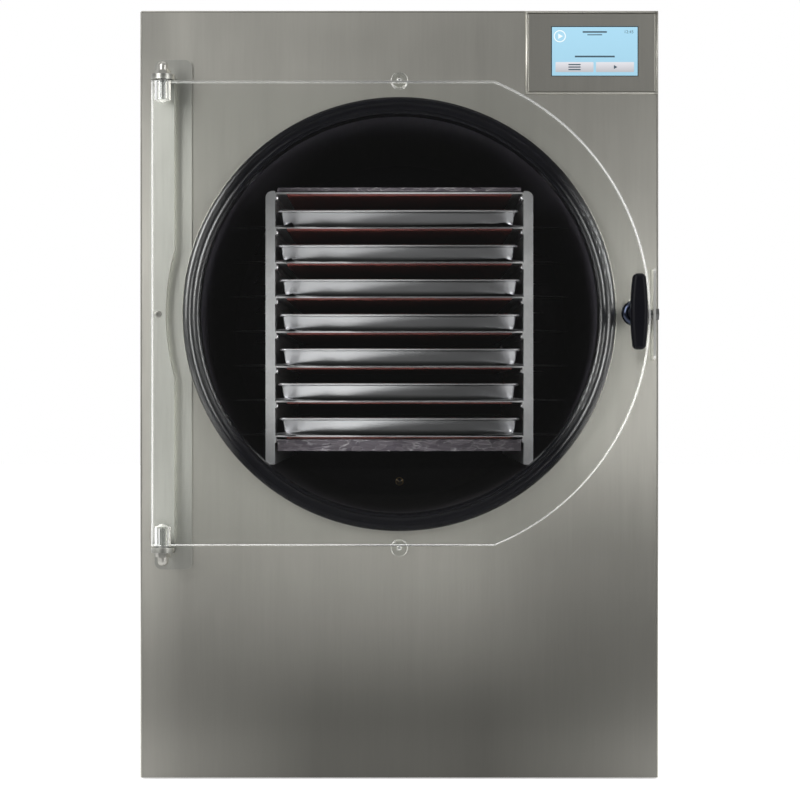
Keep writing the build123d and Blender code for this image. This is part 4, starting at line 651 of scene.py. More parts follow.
def make_foil_finish():
    """Aluminium foil, dull where it is crushed, with long creases and a few of them painted near-white as
    glints.
    """
    tree, shader = new_material("foil", metallic=1.0)
    where = object_place(tree, (0.32, 1.0, 1.0), (0.0, radians(12), 0.0))
    wander = put(tree, "TexNoise", {"Vector": where, "Scale": 55.0, "Detail": 3.0})
    shift = put(tree, "VectorMath", {"Scale": 0.02}, operation="SCALE")
    plug(tree, shift.inputs[0], wander.outputs["Color"])
    bent = put(tree, "VectorMath", operation="ADD")
    plug(tree, bent.inputs[0], where)
    plug(tree, bent.inputs[1], shift.outputs[0])
    creases = {"Vector": bent.outputs[0], "Scale": 230.0}
    facet = put(tree, "TexVoronoi", creases)
    edge = put(tree, "TexVoronoi", creases, feature="DISTANCE_TO_EDGE")
    tilt = put(tree, "SeparateColor", {"Color": facet.outputs["Color"]}).outputs["Red"]
    crease = spread(tree, edge.outputs["Distance"], 0.0, 0.13, 1.0, 0.0)
    rare_glint = spread(tree, noise(tree, object_place(tree), 70.0, 3.0), 0.48, 0.64, 0.0, 0.6)
    dull = blend(tree, tilt, (0.13, 0.115, 0.135), (0.30, 0.27, 0.30))
    # Painted glints: a few creases get a near-white colour.
    bright = math(tree, "MULTIPLY", crease, rare_glint)
    height = math(tree, "ADD", math(tree, "MULTIPLY", tilt, 0.5), edge.outputs["Distance"])
    feed(tree, shader, base_color=blend(tree, bright, dull, (0.80, 0.78, 0.80)),
         roughness=spread(tree, tilt, 0.0, 1.0, 0.45, 0.32), normal=bump(tree, height, 0.35, 0.001))


def make_gasket_finish():
    """Black rubber of the door gasket, with a glossy coat only along its left and right sides as a painted
    sheen.
    """
    rubber = tuple(bpy.context.scene.dryer_finish.rubber)
    tree, shader = moulded("gasket_rubber", rubber, 0.22, 500.0, 0.0, 1.6, shine=0.06, dusty=0.0)
    # The coat on the sides alone is a painted sheen, standing in for the highlights of the side lamps.
    aside = math(tree, "ABSOLUTE", coordinate(tree, "X"))
    feed(tree, shader, coat_roughness=0.30, coat_ior=1.9,
         coat_weight=spread(tree, aside, 0.18, 0.25, 0.0, 1.0, smooth=True))


def make_plastics():
    """Moulded parts, foam and enamel."""
    moulded("foot_rubber", (0.02, 0.02, 0.02), 0.62, 700.0, 0.3)
    moulded("handle_black", (0.0025, 0.0025, 0.004), 0.42, 1300.0, 0.12, 2.0, shine=0.08, dusty=0.1)
    moulded("black_plastic", (0.022, 0.022, 0.024), 0.45, 1100.0, 0.22, 2.0)
    moulded("rotor_plastic", (0.05, 0.05, 0.055), 0.48, 900.0, 0.18)
    moulded("rocker_plastic", (0.02, 0.02, 0.02), 0.22, 700.0, 0.05, 2.0)
    moulded("black_enamel", (0.018, 0.018, 0.020), 0.30, 260.0, 0.12, 2.0, coat=0.4)
    moulded("lever_enamel", (0.50, 0.035, 0.025), 0.28, 240.0, 0.08, 1.4, coat=0.5)
    moulded("foam", (0.78, 0.70, 0.44), 0.85, 160.0, 0.9, 1.1)


def make_heater_finish():
    """Red silicone heater mat with its woven facing."""
    tree, shader = new_material("heater_silicone")
    where = object_place(tree)
    threads = {"Vector": where, "Scale": 260.0, "Distortion": 0.4}
    warp, weft = (put(tree, "TexWave", threads, bands_direction=way).outputs["Fac"] for way in "XY")
    weave = math(tree, "MULTIPLY", warp, weft)
    red = tuple(bpy.context.scene.dryer_finish.heater)
    base = blend(tree, weave, shaded(red, 0.75), red)
    smudge = place(tree, "Smudge", {"Scale": 18.0, "Contrast": 1.6}).outputs["Value"]
    faded = math(tree, "ADD", smudge, 0.2)
    feed(tree, shader, base_color=blend(tree, faded, base, (0.20, 0.03, 0.02)),
         roughness=spread(tree, weave, 0.0, 1.0, 0.62, 0.45), normal=bump(tree, weave, 0.4, 0.0003))


def make_board_finish():
    """Green circuit board with tracks and pads."""
    tree, shader = new_material("circuit_board")
    where = object_place(tree)
    track = put(tree, "TexBrick", {"Vector": where, "Color1": (0.02, 0.16, 0.07, 1.0),
                                   "Color2": (0.015, 0.12, 0.055, 1.0), "Mortar": (0.10, 0.34, 0.16, 1.0),
                                   "Scale": 130.0, "Mortar Size": 0.06})
    pads = put(tree, "TexVoronoi", {"Vector": where, "Scale": 260.0, "Randomness": 0.4})
    dot = spread(tree, pads.outputs["Distance"], 0.10, 0.16, 1.0, 0.0)
    feed(tree, shader, base_color=blend(tree, dot, track.outputs["Color"], (0.60, 0.60, 0.58)),
         roughness=spread(tree, dot, 0.0, 1.0, 0.35, 0.22), normal=bump(tree, dot, 0.3, 0.0004))


def make_clear(name, edge_roughness, tint, edge_white):
    """Clear plastic: polished faces, and satin edges that are milky where they stand upright."""
    tree, shader = new_material(name, base_color=tint, transmission_weight=1.0, ior=1.49,
                                specular_ior_level=0.3)
    surface = put(tree, "NewGeometry")
    way = put(tree, "SeparateXYZ", {"Vector": surface.outputs["True Normal"]})
    cut = spread(tree, math(tree, "ABSOLUTE", way.outputs["Y"]), 0.55, 0.9, 1.0, 0.0)
    flat = put(tree, "Mix", data_type="VECTOR")
    plug(tree, flat.inputs["Factor"], cut)
    plug(tree, flat.inputs[4], surface.outputs["True Normal"])
    plug(tree, flat.inputs[5], surface.outputs["Normal"])
    scuff = spread(tree, noise(tree, object_place(tree), 300.0, 4.0, 0.6), 0.3, 0.7, 0.6, 1.0)
    satin = math(tree, "MULTIPLY", cut, edge_roughness)
    feed(tree, shader, roughness=math(tree, "MULTIPLY", satin, scuff), normal=flat.outputs[1])
    sawn = spread(tree, math(tree, "ABSOLUTE", way.outputs["X"]), 0.2, 0.95, 0.12, 1.0)
    milky = math(tree, "MULTIPLY", math(tree, "MULTIPLY", sawn, outside_bores(tree)), edge_white)
    sheet = put(tree, "MixShader", {"Fac": math(tree, "MULTIPLY", cut, milky)})
    plug(tree, sheet.inputs[1], shader.outputs["BSDF"])
    plug(tree, sheet.inputs[2], milk(tree))
    let_light_through(tree, sheet.outputs["Shader"])


def outside_bores(tree):
    """Mask that leaves out the polished holes of the hinge bushes, one above the other."""
    _low, _high, pin, _size = box_size("hinge_pins")
    bore, fade = 0.0105, 0.0007
    off_pin = math(tree, "ABSOLUTE", math(tree, "SUBTRACT", coordinate(tree, "X"), pin.x))
    return spread(tree, off_pin, bore, bore + fade, 0.0, 1.0)


def milk(tree):
    """White shader that scatters as much light through as back."""
    mixed = put(tree, "MixShader", {"Fac": 0.5})
    plug(tree, mixed.inputs[1], put(tree, "BsdfDiffuse", {"Color": WHITE}).outputs["BSDF"])
    plug(tree, mixed.inputs[2], put(tree, "BsdfTranslucent", {"Color": WHITE}).outputs["BSDF"])
    return mixed.outputs["Shader"]


def let_light_through(tree, solid):
    """Let shadow, diffuse and mirrored rays pass a clear piece, so that the lamps light what is behind it."""
    rays = put(tree, "LightPath")
    mirrored = math(tree, "SUBTRACT", rays.outputs["Is Glossy Ray"], rays.outputs["Is Transmission Ray"])
    scattered = math(tree, "MAXIMUM", rays.outputs["Is Diffuse Ray"], mirrored)
    passing = math(tree, "MAXIMUM", rays.outputs["Is Shadow Ray"], scattered)
    through = put(tree, "BsdfTransparent", {"Color": (0.99, 0.995, 0.99)})
    mixed = put(tree, "MixShader", {"Fac": passing})
    plug(tree, mixed.inputs[1], solid)
    plug(tree, mixed.inputs[2], through.outputs["BSDF"])
    plug(tree, tree.nodes["Material Output"].inputs["Surface"], mixed.outputs["Shader"])


def make_glows():
    """Layers of the lit touch screen."""
    settings = bpy.context.scene.dryer_finish
    sky = tuple(settings.sky)
    tree, shader = new_material("screen", roughness=0.12)
    smear = noise(tree, object_place(tree), 120.0, 3.0, 0.6)
    feed(tree, shader, base_color=blend(tree, smear, (0.010, 0.018, 0.022), (0.018, 0.030, 0.036)),
         roughness=spread(tree, smear, 0.3, 0.7, 0.08, 0.16))
    glow("screen_sky", shaded(sky, 0.88), sky, 0.0, 1.0)
    glow("screen_white", (0.84, 0.92, 0.97), (0.90, 0.96, 1.0), 0.0, 1.0)
    glow("screen_button", (0.50, 0.50, 0.53), (0.80, 0.80, 0.84), 0.16, 0.36)
    glow("screen_ink", (0.05, 0.08, 0.10), (0.09, 0.14, 0.18), 0.0, 1.0)


def glow(name, foot_colour, head_colour, foot, head):
    """Lit layer of the picture: its colour changes upwards between two shares of the screen's height."""
    tree, shader = new_material(name, roughness=0.2, emission_strength=0.8)
    low, _high, _middle, size = box_size("touchscreen")
    up = coordinate(tree, "Z")
    rise = spread(tree, up, low.z + foot * size.z, low.z + head * size.z, 0.0, 1.0)
    lines = {"Vector": object_place(tree), "Scale": 900.0}
    rows = put(tree, "TexWave", lines, bands_direction="Z").outputs["Fac"]
    shade = blend(tree, rise, foot_colour, head_colour)
    lined = blend(tree, math(tree, "MULTIPLY", rows, 0.06), shade, BLACK)
    feed(tree, shader, base_color=blend(tree, 0.8, lined, BLACK), emission_color=lined)


# ---------------------------------------------------------------- operators

class DRYER_OT_finishes(bpy.types.Operator):
    """Make the shared effects and every finish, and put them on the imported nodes"""
    bl_idname = "dryer.finishes"
    bl_label = "Finishes"

    def execute(self, context):
        make_brushed_grain()
        make_edge_wear()
        make_settled_dust()
        make_smudge()
        make_steels()
        make_galvanised()
        make_foil_finish()
        make_gasket_finish()
        make_plastics()
        make_heater_finish()
        make_board_finish()
        make_clear("clear_acrylic", 0.5, (0.995, 1.0, 0.995), 0.75)
        make_clear("clear_plastic", 0.15, (0.94, 0.95, 0.94), 0.6)
        make_clear("bush_nylon", 0.12, (0.86, 0.87, 0.86), 0.0)
        make_glows()
        for node, shape in frame["nodes"].items():
            finish = bpy.data.materials[SLOT_OF[node]]
            for slot in shape.material_slots:
                slot.material = finish
        for node, finish in OWN_FINISH.items():
            frame["nodes"][node].material_slots[0].material = bpy.data.materials[finish]
        return {"FINISHED"}


class DRYER_OT_trays(bpy.types.Operator):
    """Press the seven trays: a thin pan with leaning walls, a rounded foot and a rolled rim"""
    bl_idname = "dryer.trays"
    bl_label = "Trays"

    def execute(self, context):
        settings = context.scene.dryer_tray
        low, high, middle, size = box_size("tray_1")
        roll = settings.rim_drop / 2
        corner_steps = 10
        tray = add_sheet("tray_pan_1", (middle.x, middle.y, high.z - roll), size.x, size.y)
        bpy.ops.mesh.select_all(action="SELECT")
        bpy.ops.mesh.bevel(offset=settings.corner, segments=corner_steps, affect="VERTICES")
        for inward, drop in tray_profile(settings, size.z):
            bpy.ops.mesh.inset(thickness=inward, depth=-drop)
        bpy.context.tool_settings.mesh_select_mode = (False, True, False)
        bpy.ops.mesh.select_all(action="DESELECT")
        bpy.ops.mesh.select_non_manifold(use_boundary=True)
        half_x, half_y = size.x / 2, size.y / 2
        for inward, drop in bend_steps(roll, 90, 0, ROLL_STEPS):
            bpy.ops.mesh.extrude_edges_move(TRANSFORM_OT_translate={"value": (0, 0, -drop)})
            shrink = (1 - inward / half_x, 1 - inward / half_y, 1)
            bpy.ops.transform.resize(value=shrink, center_override=middle)
            half_x, half_y = half_x - inward, half_y - inward
        apply_modifier(tray, "SOLIDIFY", thickness=settings.sheet, offset=-1.0)
        close_shape(tray, 35.0)
        dress(tray, "cabinet", "tray_steel", ["tray_1"])
        for index in range(2, count_of("tray_") + 1):
            copy = copy_shape(tray, f"tray_pan_{index}", box_size(f"tray_{index}")[0] - low)
            dress(copy, "cabinet", "tray_steel", [f"tray_{index}"])
        return {"FINISHED"}


def bend_steps(radius, start, end, count):
    """Chords of a bend as inward and downward steps. A direction of 0 degrees is inward and 90 is down."""
    turn = (end - start) / count
    chord = 2 * radius * sin(radians(abs(turn)) / 2)
    directions = [radians(start + (step + 0.5) * turn) for step in range(count)]
    return [(chord * cos(direction), chord * sin(direction)) for direction in directions]


def tray_profile(settings, height):
    """Steps from the rim's outermost line over the roll, down the leaning wall and round the foot."""
    roll = settings.rim_drop / 2
    slope = atan2(height - settings.sheet, settings.lean)
    over = bend_steps(roll, -90, 0, ROLL_STEPS)
    shoulder = bend_steps(roll, 0, degrees(slope), ROLL_STEPS)
    flat = [(settings.rim_width - 2 * roll, 0.0)]
    foot = bend_steps(settings.foot, degrees(slope), 0, FOOT_STEPS)
    drop = height - roll - settings.sheet - sum(step[1] for step in over + shoulder + foot)
    return over + flat + shoulder + [(drop / tan(slope), drop)] + foot


class DRYER_OT_foil(bpy.types.Operator):
    """Wrap the insulation over and under the rack in crumpled foil"""
    bl_idname = "dryer.foil"
    bl_label = "Foil"

    def execute(self, context):
        settings = context.scene.dryer_foil
        for node in ("foil_top", "foil_bottom"):
            _low, _high, middle, size = box_size(node)
            wrapped = size + Vector((2 * settings.overhang, 0, 0)) - Vector.Fill(3, settings.crumple)
            foil = add_block(f"{node}_wrap", middle, wrapped)
            for axis, cuts in enumerate((settings.cuts, settings.cuts, settings.side_cuts)):
                pick(foil, "EDGE", lambda place, way: abs(way[axis]) > size[axis] / 2)
                bpy.ops.mesh.subdivide(number_cuts=cuts, smoothness=0.0)
            bpy.ops.object.mode_set(mode="OBJECT")
            crumple = bpy.data.textures.new(f"{node}_crumple", "VORONOI")
            crumple.noise_scale = settings.crease
            crumple.distance_metric = "DISTANCE"
            crumple.weight_1 = -1.0
            crumple.weight_2 = 1.0
            apply_modifier(foil, "DISPLACE", texture=crumple, strength=settings.crumple, mid_level=0.5,
                           texture_coords="LOCAL")
            close_shape(foil, 20.0)
            dress(foil, "cabinet", "foil", [node])
        return {"FINISHED"}


class DRYER_OT_screen(bpy.types.Operator):
    """Lay the lit picture on the touch screen: a round mark, plain bars, a clock and two buttons"""
    bl_idname = "dryer.screen"
    bl_label = "Screen"

    def execute(self, context):
        settings = context.scene.dryer_screen
        _low, _high, _middle, size = box_size("touchscreen")
        wide, tall = size.x - 2 * settings.frame, size.z - 2 * settings.frame
        border = settings.border
        sky = tile(wide / 2, tall / 2, wide - 2 * border, tall - 2 * border, 0)
        button_w = (wide - 2 * settings.margin - settings.gap) / 2
        button_v = tall - settings.margin - settings.button_height / 2
        left_u = settings.margin + button_w / 2
        right_u = wide - left_u
        buttons = [tile(u, button_v, button_w, settings.button_height, 1, settings.button_corner)
                   for u in (left_u, right_u)]
        mark_u, mark_v = 1.5 * settings.ring, 1.75 * settings.ring
        mark = [ring(mark_u, mark_v, settings.ring, 1), wedge(mark_u, mark_v, 0.55 * settings.ring, 1)]
        digit_v = 1.8 * settings.digit_height
        bar_h = 0.55 * settings.digit_height
        title_w, subtitle_w, status_w, menu_w = (part * wide for part in (0.28, 0.17, 0.46, 0.14))
        ink = [tile(wide / 2, digit_v, title_w, bar_h, 1),
               tile(wide / 2, digit_v + 1.7 * bar_h, subtitle_w, 0.6 * bar_h, 1),
               tile(wide / 2, 0.605 * tall, status_w, bar_h, 1),
               clock(wide - 2.3 * settings.margin, digit_v, "12:45", settings.digit_height, 1),
               wedge(right_u, button_v, 1.4 * bar_h, 2)]
        for step in (-1, 0, 1):
            ink.append(tile(left_u, button_v + 1.5 * step * bar_h, menu_w, 0.7 * bar_h, 2))
        dress(join_shapes("screen_picture", [sky]), "cabinet", "screen", finish="screen_sky")
        dress(join_shapes("screen_mark", mark), "cabinet", "screen", finish="screen_white")
        dress(join_shapes("screen_buttons", buttons), "cabinet", "screen", finish="screen_button")
        dress(join_shapes("screen_ink", ink), "cabinet", "screen", finish="screen_ink")
        return {"FINISHED"}


def screen_place(u, v, layer):
    """Place on a layer of the picture, u right and v down from the window's top left corner."""
    settings = bpy.context.scene.dryer_screen
    low, high, _middle, _size = box_size("touchscreen")
    depth = low.y - (layer + 0.5) * settings.layer
    return Vector((low.x + settings.frame + u, depth, high.z - settings.frame - v))


def tile(u, v, width, height, layer, corner=0.0):
    """Flat tile of the picture, with rounded corners if they are given."""
    thick = bpy.context.scene.dryer_screen.layer
    shape = add_block("screen_tile", screen_place(u, v, layer), (width, thick, height))
    if corner:
        pick(shape, "EDGE", lambda place, way: abs(way.y) > thick / 2)
        bpy.ops.mesh.bevel(offset=corner, segments=4, affect="EDGES")
    close_shape(shape)
    return shape


def ring(u, v, radius, layer):
    """Thin ring on the picture."""
    line = 0.09 * radius
    clear_selection()
    bpy.ops.mesh.primitive_torus_add(major_segments=64, minor_segments=8, major_radius=radius,
                                     minor_radius=line, location=screen_place(u, v, layer),
                                     rotation=(QUARTER, 0, 0))
    bpy.context.object.scale = (1, 1, bpy.context.scene.dryer_screen.layer / (2 * line))
    shape = start_shape("screen_ring")
    close_shape(shape)
    return shape


def wedge(u, v, radius, layer):
    """Triangle that points right."""
    thick = bpy.context.scene.dryer_screen.layer
    shape = add_rod("screen_wedge", screen_place(u, v, layer), radius, thick, 3, (QUARTER, QUARTER, 0))
    close_shape(shape)
    return shape


def clock(u, v, digits, height, layer):
    """Digits of the clock, as thick as a layer."""
    clear_selection()
    bpy.ops.object.text_add(rotation=(QUARTER, 0, 0))
    curve = bpy.context.object.data
    curve.body = digits
    curve.align_x = "CENTER"
    curve.align_y = "CENTER"
    curve.extrude = bpy.context.scene.dryer_screen.layer / 2
    bpy.ops.object.convert(target="MESH")
    shape = bpy.context.object
    grow = height / shape.dimensions.y
    shape.scale = (grow, grow, 1.0)
    shape.location = screen_place(u, v, layer)
    start_shape("screen_clock")
    close_shape(shape)
    return shape


class DRYER_OT_fascia_edge(bpy.types.Operator):
    """Run the half-round edge round the fascia, over its seam with the cabinet"""
    bl_idname = "dryer.fascia_edge"
    bl_label = "Fascia edge"

    def execute(self, context):
        settings = context.scene.dryer_screen
        low, _high, middle, size = box_size("control_fascia")
        add_sheet("fascia_edge", (middle.x, low.y, middle.z), size.x + settings.edge_seam,
                  size.z + settings.edge_seam, (QUARTER, 0, 0))
        bpy.ops.mesh.delete(type="ONLY_FACE")
        bpy.ops.object.mode_set(mode="OBJECT")
        bpy.ops.object.convert(target="CURVE")
        context.object.data.bevel_depth = settings.edge_round
        context.object.data.bevel_resolution = 3
        bpy.ops.object.convert(target="MESH")
        edge = context.object
        close_shape(edge, 50.0)
        # Its finish carries painted shade along its head and right.
        dress(edge, "cabinet", "fascia_steel", finish="fascia_trim")
        return {"FINISHED"}


class DRYER_OT_rivets(bpy.types.Operator):
    """Set a domed rivet at each end of every shelf, on both sides of the rack"""
    bl_idname = "dryer.rivets"
    bl_label = "Rivets"

    def execute(self, context):
        settings = context.scene.dryer_fastener
        low, high, _middle, size = box_size("rack_rivets")
        radius = settings.rivet
        shelves = count_of("shelf_")
        seat = high.x - settings.grip
        foot = Vector((seat, low.y + radius, low.z + radius))
        clear_selection()
        bpy.ops.mesh.primitive_uv_sphere_add(segments=24, ring_count=12, radius=radius, location=foot,
                                             rotation=(0, QUARTER, 0))
        context.object.scale = (1, 1, settings.dome / radius)
        dome = start_shape("rivet_dome")
        hair = settings.dome / 100
        pick(dome, "VERT", lambda place, normal: place.x > seat + hair)
        bpy.ops.mesh.delete(type="VERT")
        bpy.ops.mesh.select_all(action="SELECT")
        bpy.ops.mesh.region_to_loop()
        bpy.ops.mesh.edge_face_add()
        close_shape(dome, 50.0)
        tail = add_rod("rivet_tail", foot + Vector((settings.grip / 2, 0, 0)), radius / 2, settings.grip, 16,
                       (0, QUARTER, 0))
        close_shape(tail)
        rivets = join_shapes("shelf_rivets", [dome, tail])
        mark_out(rivets, shelves, (0, 0, (size.z - 2 * radius) / (shelves - 1)))
        mark_out(rivets, 2, (0, size.y - 2 * radius, 0))
        apply_modifier(rivets, "MIRROR", use_mirror_merge=False)
        dress(rivets, "cabinet", "rack_steel", ["rack_rivets"])
        return {"FINISHED"}


class DRYER_OT_screws(bpy.types.Operator):
    """Drive the screws of the hinge bar, the door bumpers and the rear panel"""
    bl_idname = "dryer.screws"
    bl_label = "Screws"

    def execute(self, context):
        settings = context.scene.dryer_fastener
        _low, _high, bar, bar_size = box_size("hinge_bracket")
        _low, door_back, _middle, _size = box_size("door_panel")
        bar_x = bar.x - bar_size.x / 4
        bar_front = first_surface("hinge_bracket", bar_x, bar.z, door_back.y, 1)
        hinge = screw("hinge_screw", (bar_x, bar_front, bar.z), -1, settings.head)
        dress(hinge, "cabinet", "hardware_steel")
        low, _high, middle, size = box_size("door_bumpers")
        floor = low.y + settings.recess
        reach = size.z / 2 - size.x / 2
        bumper = [screw("bumper_screw", (middle.x, floor, middle.z + side * reach), -1, settings.bumper_head)
                  for side in (-1, 1)]
        dress(join_shapes("bumper_screws", bumper), "cabinet", "fitting_steel")
        low, high, _middle, size = box_size("rear_panel")
        inset = settings.panel_inset
        column = screw("rear_screw", (high.x - inset, high.y, low.z + inset), 1, settings.head)
        mark_out(column, REAR_SCREW_ROWS, (0, 0, (size.z - 2 * inset) / (REAR_SCREW_ROWS - 1)))
        apply_modifier(column, "MIRROR", use_mirror_merge=False)
        row = screw("rear_row", (0, high.y, low.z + inset), 1, settings.head)
        mark_out(row, 2, (0, 0, size.z - 2 * inset))
        dress(join_shapes("rear_screws", [column, row]), "cabinet", "hardware_steel")
        return {"FINISHED"}


def screw(name, place, facing, radius):
    """Button-head screw with a six-sided recess, seated at a place and facing along Y."""
    settings = bpy.context.scene.dryer_fastener
    height = settings.head_height
    rounding, socket = 0.55 * height, 0.45 * radius
    x, y, z = place
    turn = (-facing * QUARTER, 0, 0)
    head = add_rod(name, (x, y + facing * height / 2, z), radius, height, 32, turn)
    pick(head, "FACE", lambda where, normal: normal.y * facing > 0.9)
    bpy.ops.mesh.bevel(offset=rounding, segments=4, affect="EDGES")
    close_shape(head, 50.0)
    cut_out(head, add_rod("socket_cutter", (x, y + facing * height, z), socket, height, 6, turn))
    return head


class DRYER_OT_contacts(bpy.types.Operator):
    """Plate the three contacts of the power inlet"""
    bl_idname = "dryer.contacts"
    bl_label = "Contacts"

    def execute(self, context):
        settings = context.scene.dryer_fastener
        _low, back, middle, _size = box_size("power_inlet")
        skin = settings.contact_skin
        shells = []
        for side in (-1, 0, 1):
            x = middle.x + side * settings.contact_pitch
            z = middle.z + (settings.contact_rise if side == 0 else -settings.contact_rise)
            tip = first_surface("power_inlet", x, z, back.y, -1) + skin
            floor = first_surface("power_inlet", x + settings.contact_pitch / 2, z, back.y, -1)
            reach = tip - floor
            half_way = floor + reach / 2
            shell = add_block("contact", (x, half_way, z),
                              (settings.contact_w + 2 * skin, reach, settings.contact_h + 2 * skin))
            pick(shell, "EDGE", lambda place, way: abs(way.y) < reach / 2 and place.y > half_way)
            bpy.ops.mesh.bevel(offset=settings.contact_round, segments=2, affect="EDGES")
            close_shape(shell, 50.0)
            shells.append(shell)
        dress(join_shapes("inlet_contacts", shells), "cabinet", "brass_fitting")
        return {"FINISHED"}


class DRYER_OT_valve_ball(bpy.types.Operator):
    """Put the bored ball into the drain valve, turned across the pipe as the lever is at rest"""
    bl_idname = "dryer.valve_ball"
    bl_label = "Valve ball"

    def execute(self, context):
        radius = context.scene.dryer_fastener.ball
        bore, cutter_length = 0.6 * radius, 4 * radius
        _low, _high, lever, _size = box_size("drain_lever")
        foot, _high, valve, size = box_size("drain_valve")
        centre = (valve.x, lever.y, foot.z + size.x / 2)
        clear_selection()
        bpy.ops.mesh.primitive_uv_sphere_add(segments=32, ring_count=16, radius=radius, location=centre)
        ball = start_shape("drain_ball")
        close_shape(ball, 50.0)
        cut_out(ball, add_rod("ball_cutter", centre, bore, cutter_length, 24, (0, QUARTER, 0)))
        dress(ball, "drain_lever", "fitting_steel", finish="bolt_steel")
        return {"FINISHED"}


class DRYER_OT_studio(bpy.types.Operator):
    """Set up the floor, the lamps, the room and the camera"""
    bl_idname = "dryer.studio"
    bl_label = "Studio"

    def execute(self, context):
        settings = context.scene.dryer_studio
        make_floor()
        make_room(settings)
        front = box_size("cabinet_wrap")[0].y
        make_lamp("key_lamp", (-1.9, front - 2.0, 1.7), (0.0, front, 0.5), (1.3, 1.9), settings.key)
        make_lamp("fill_lamp", (2.0, front - 2.0, 1.1), (0.0, front, 0.45), (1.0, 1.6), settings.fill)
        make_lamp("top_lamp", (0.0, 0.1, 2.8), (0.0, 0.1, 0.0), (2.2, 2.2), settings.top)
        make_lamp("back_lamp", (0.8, 2.6, 1.6), (0.0, 0.3, 0.4), (1.6, 1.6), settings.back)
        make_camera(settings, front)
        return {"FINISHED"}


def make_floor():
    """Pale floor, white where the camera sees it and dark in the mirror image of its far end."""
    clear_selection()
    bpy.ops.mesh.primitive_plane_add(size=24.0, location=(0, 0, 0))
    floor = bpy.context.object
    floor.name = "studio_floor"
    tree, shader = new_material("studio_floor", roughness=0.9, emission_color=WHITE)
    cloud = noise(tree, object_place(tree), 0.8, 2.0)
    pale = blend(tree, cloud, (0.86, 0.86, 0.86), (0.88, 0.88, 0.88))
    near = spread(tree, coordinate(tree, "Y"), -2.2, -0.6, 0.0, 1.0, smooth=True)
    mirrored, shown = seen_rays(tree, near)
    flagged = math(tree, "MULTIPLY", mirrored, math(tree, "SUBTRACT", 1.0, near))
    feed(tree, shader, base_color=blend(tree, flagged, pale, (0.06, 0.06, 0.06)),
         emission_strength=math(tree, "MULTIPLY", shown, 0.55))
    floor.data.materials.append(bpy.data.materials["studio_floor"])


def seen_rays(tree, mask):
    """Rays that mirror or pass through a surface, and the camera's own with those of them inside a mask."""
    rays = put(tree, "LightPath")
    mirrored = math(tree, "MAXIMUM", rays.outputs["Is Glossy Ray"], rays.outputs["Is Transmission Ray"])
    masked = math(tree, "MULTIPLY", mirrored, mask)
    return mirrored, math(tree, "MAXIMUM", rays.outputs["Is Camera Ray"], masked)


def make_room(settings):
    """Room light: white where it is seen as a background, dimmer elsewhere, dark behind the camera."""
    world = bpy.data.worlds.new("studio_room")
    bpy.context.scene.world = world
    world.use_nodes = True
    tree = world.node_tree
    tree.nodes.clear()
    direction = put(tree, "SeparateXYZ", {"Vector": put(tree, "TexCoord").outputs["Generated"]}).outputs["Y"]
    backdrop = spread(tree, direction, -0.05, 0.25, 0.0, 1.0, smooth=True)
    _mirrored, seen = seen_rays(tree, backdrop)
    level = spread(tree, direction, -0.965, -0.90, settings.flag, settings.room, smooth=True)
    strength = put(tree, "Mix", data_type="FLOAT")
    plug(tree, strength.inputs[0], seen)
    plug(tree, strength.inputs[2], level)
    plug(tree, strength.inputs[3], 1.0)
    light = put(tree, "Background", {"Color": WHITE, "Strength": strength.outputs[0]})
    put(tree, "OutputWorld", {"Surface": light.outputs["Background"]})


def make_lamp(name, place, aim, size, power):
    """Soft rectangular lamp."""
    data = bpy.data.lights.new(name, "AREA")
    data.shape = "RECTANGLE"
    data.size, data.size_y = size
    data.energy = power
    lamp = bpy.data.objects.new(name, data)
    bpy.context.collection.objects.link(lamp)
    lamp.location = place
    lamp.rotation_euler = (Vector(aim) - Vector(place)).to_track_quat("-Z", "Y").to_euler()


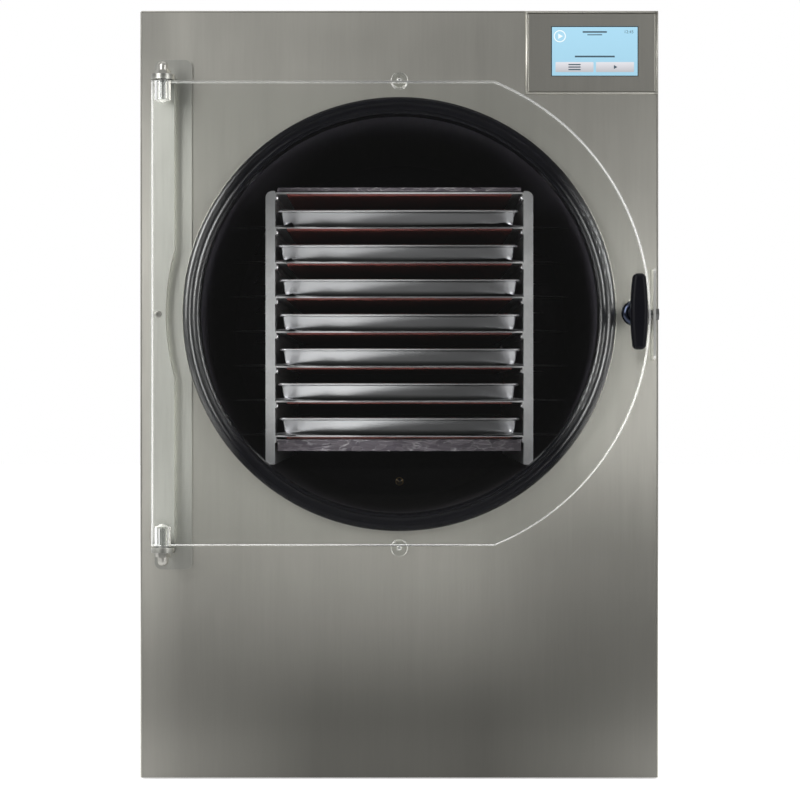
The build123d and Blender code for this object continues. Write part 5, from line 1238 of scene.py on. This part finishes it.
def make_camera(settings, front):
    """Camera that faces the cabinet squarely."""
    data = bpy.data.cameras.new("camera")
    camera = bpy.data.objects.new("camera", data)
    bpy.context.collection.objects.link(camera)
    camera.location = (settings.aside, front - settings.distance, settings.eye)
    camera.rotation_euler = (QUARTER, 0, 0)
    data.sensor_width = 36.0
    data.lens = data.sensor_width * settings.distance / settings.span
    data.clip_start, data.clip_end = 0.05, 60.0
    bpy.context.scene.camera = camera
    bpy.context.scene.view_settings.view_transform = "Standard"


class DRYER_PT_panel(bpy.types.Panel):
    """Sidebar panel that lists the operators"""
    bl_idname = "DRYER_PT_panel"
    bl_label = "Freeze Dryer"
    bl_space_type = "VIEW_3D"
    bl_region_type = "UI"
    bl_category = "Freeze Dryer"

    def draw(self, context):
        for operator in OPERATORS:
            self.layout.operator(operator.bl_idname)


SETTINGS = {"dryer_tray": TraySettings, "dryer_foil": FoilSettings, "dryer_screen": ScreenSettings,
            "dryer_fastener": FastenerSettings, "dryer_finish": FinishSettings,
            "dryer_studio": StudioSettings}
OPERATORS = (DRYER_OT_finishes, DRYER_OT_trays, DRYER_OT_foil, DRYER_OT_screen, DRYER_OT_fascia_edge,
             DRYER_OT_rivets, DRYER_OT_screws, DRYER_OT_contacts, DRYER_OT_valve_ball, DRYER_OT_studio)


def register():
    """Register the settings, operators and panel."""
    for name, group in SETTINGS.items():
        bpy.utils.register_class(group)
        setattr(bpy.types.Scene, name, PointerProperty(type=group))
    for operator in OPERATORS:
        bpy.utils.register_class(operator)
    bpy.utils.register_class(DRYER_PT_panel)


def unregister():
    """Take the panel, operators and settings away."""
    bpy.utils.unregister_class(DRYER_PT_panel)
    for operator in reversed(OPERATORS):
        bpy.utils.unregister_class(operator)
    for name, group in SETTINGS.items():
        delattr(bpy.types.Scene, name)
        bpy.utils.unregister_class(group)


def main():
    """Dress the freeze dryer."""
    register()
    bpy.ops.dryer.finishes()
    bpy.ops.dryer.trays()
    bpy.ops.dryer.foil()
    bpy.ops.dryer.screen()
    bpy.ops.dryer.fascia_edge()
    bpy.ops.dryer.rivets()
    bpy.ops.dryer.screws()
    bpy.ops.dryer.contacts()
    bpy.ops.dryer.valve_ball()
    bpy.ops.dryer.studio()
    clear_selection()


if __name__ == "__main__":
    main()
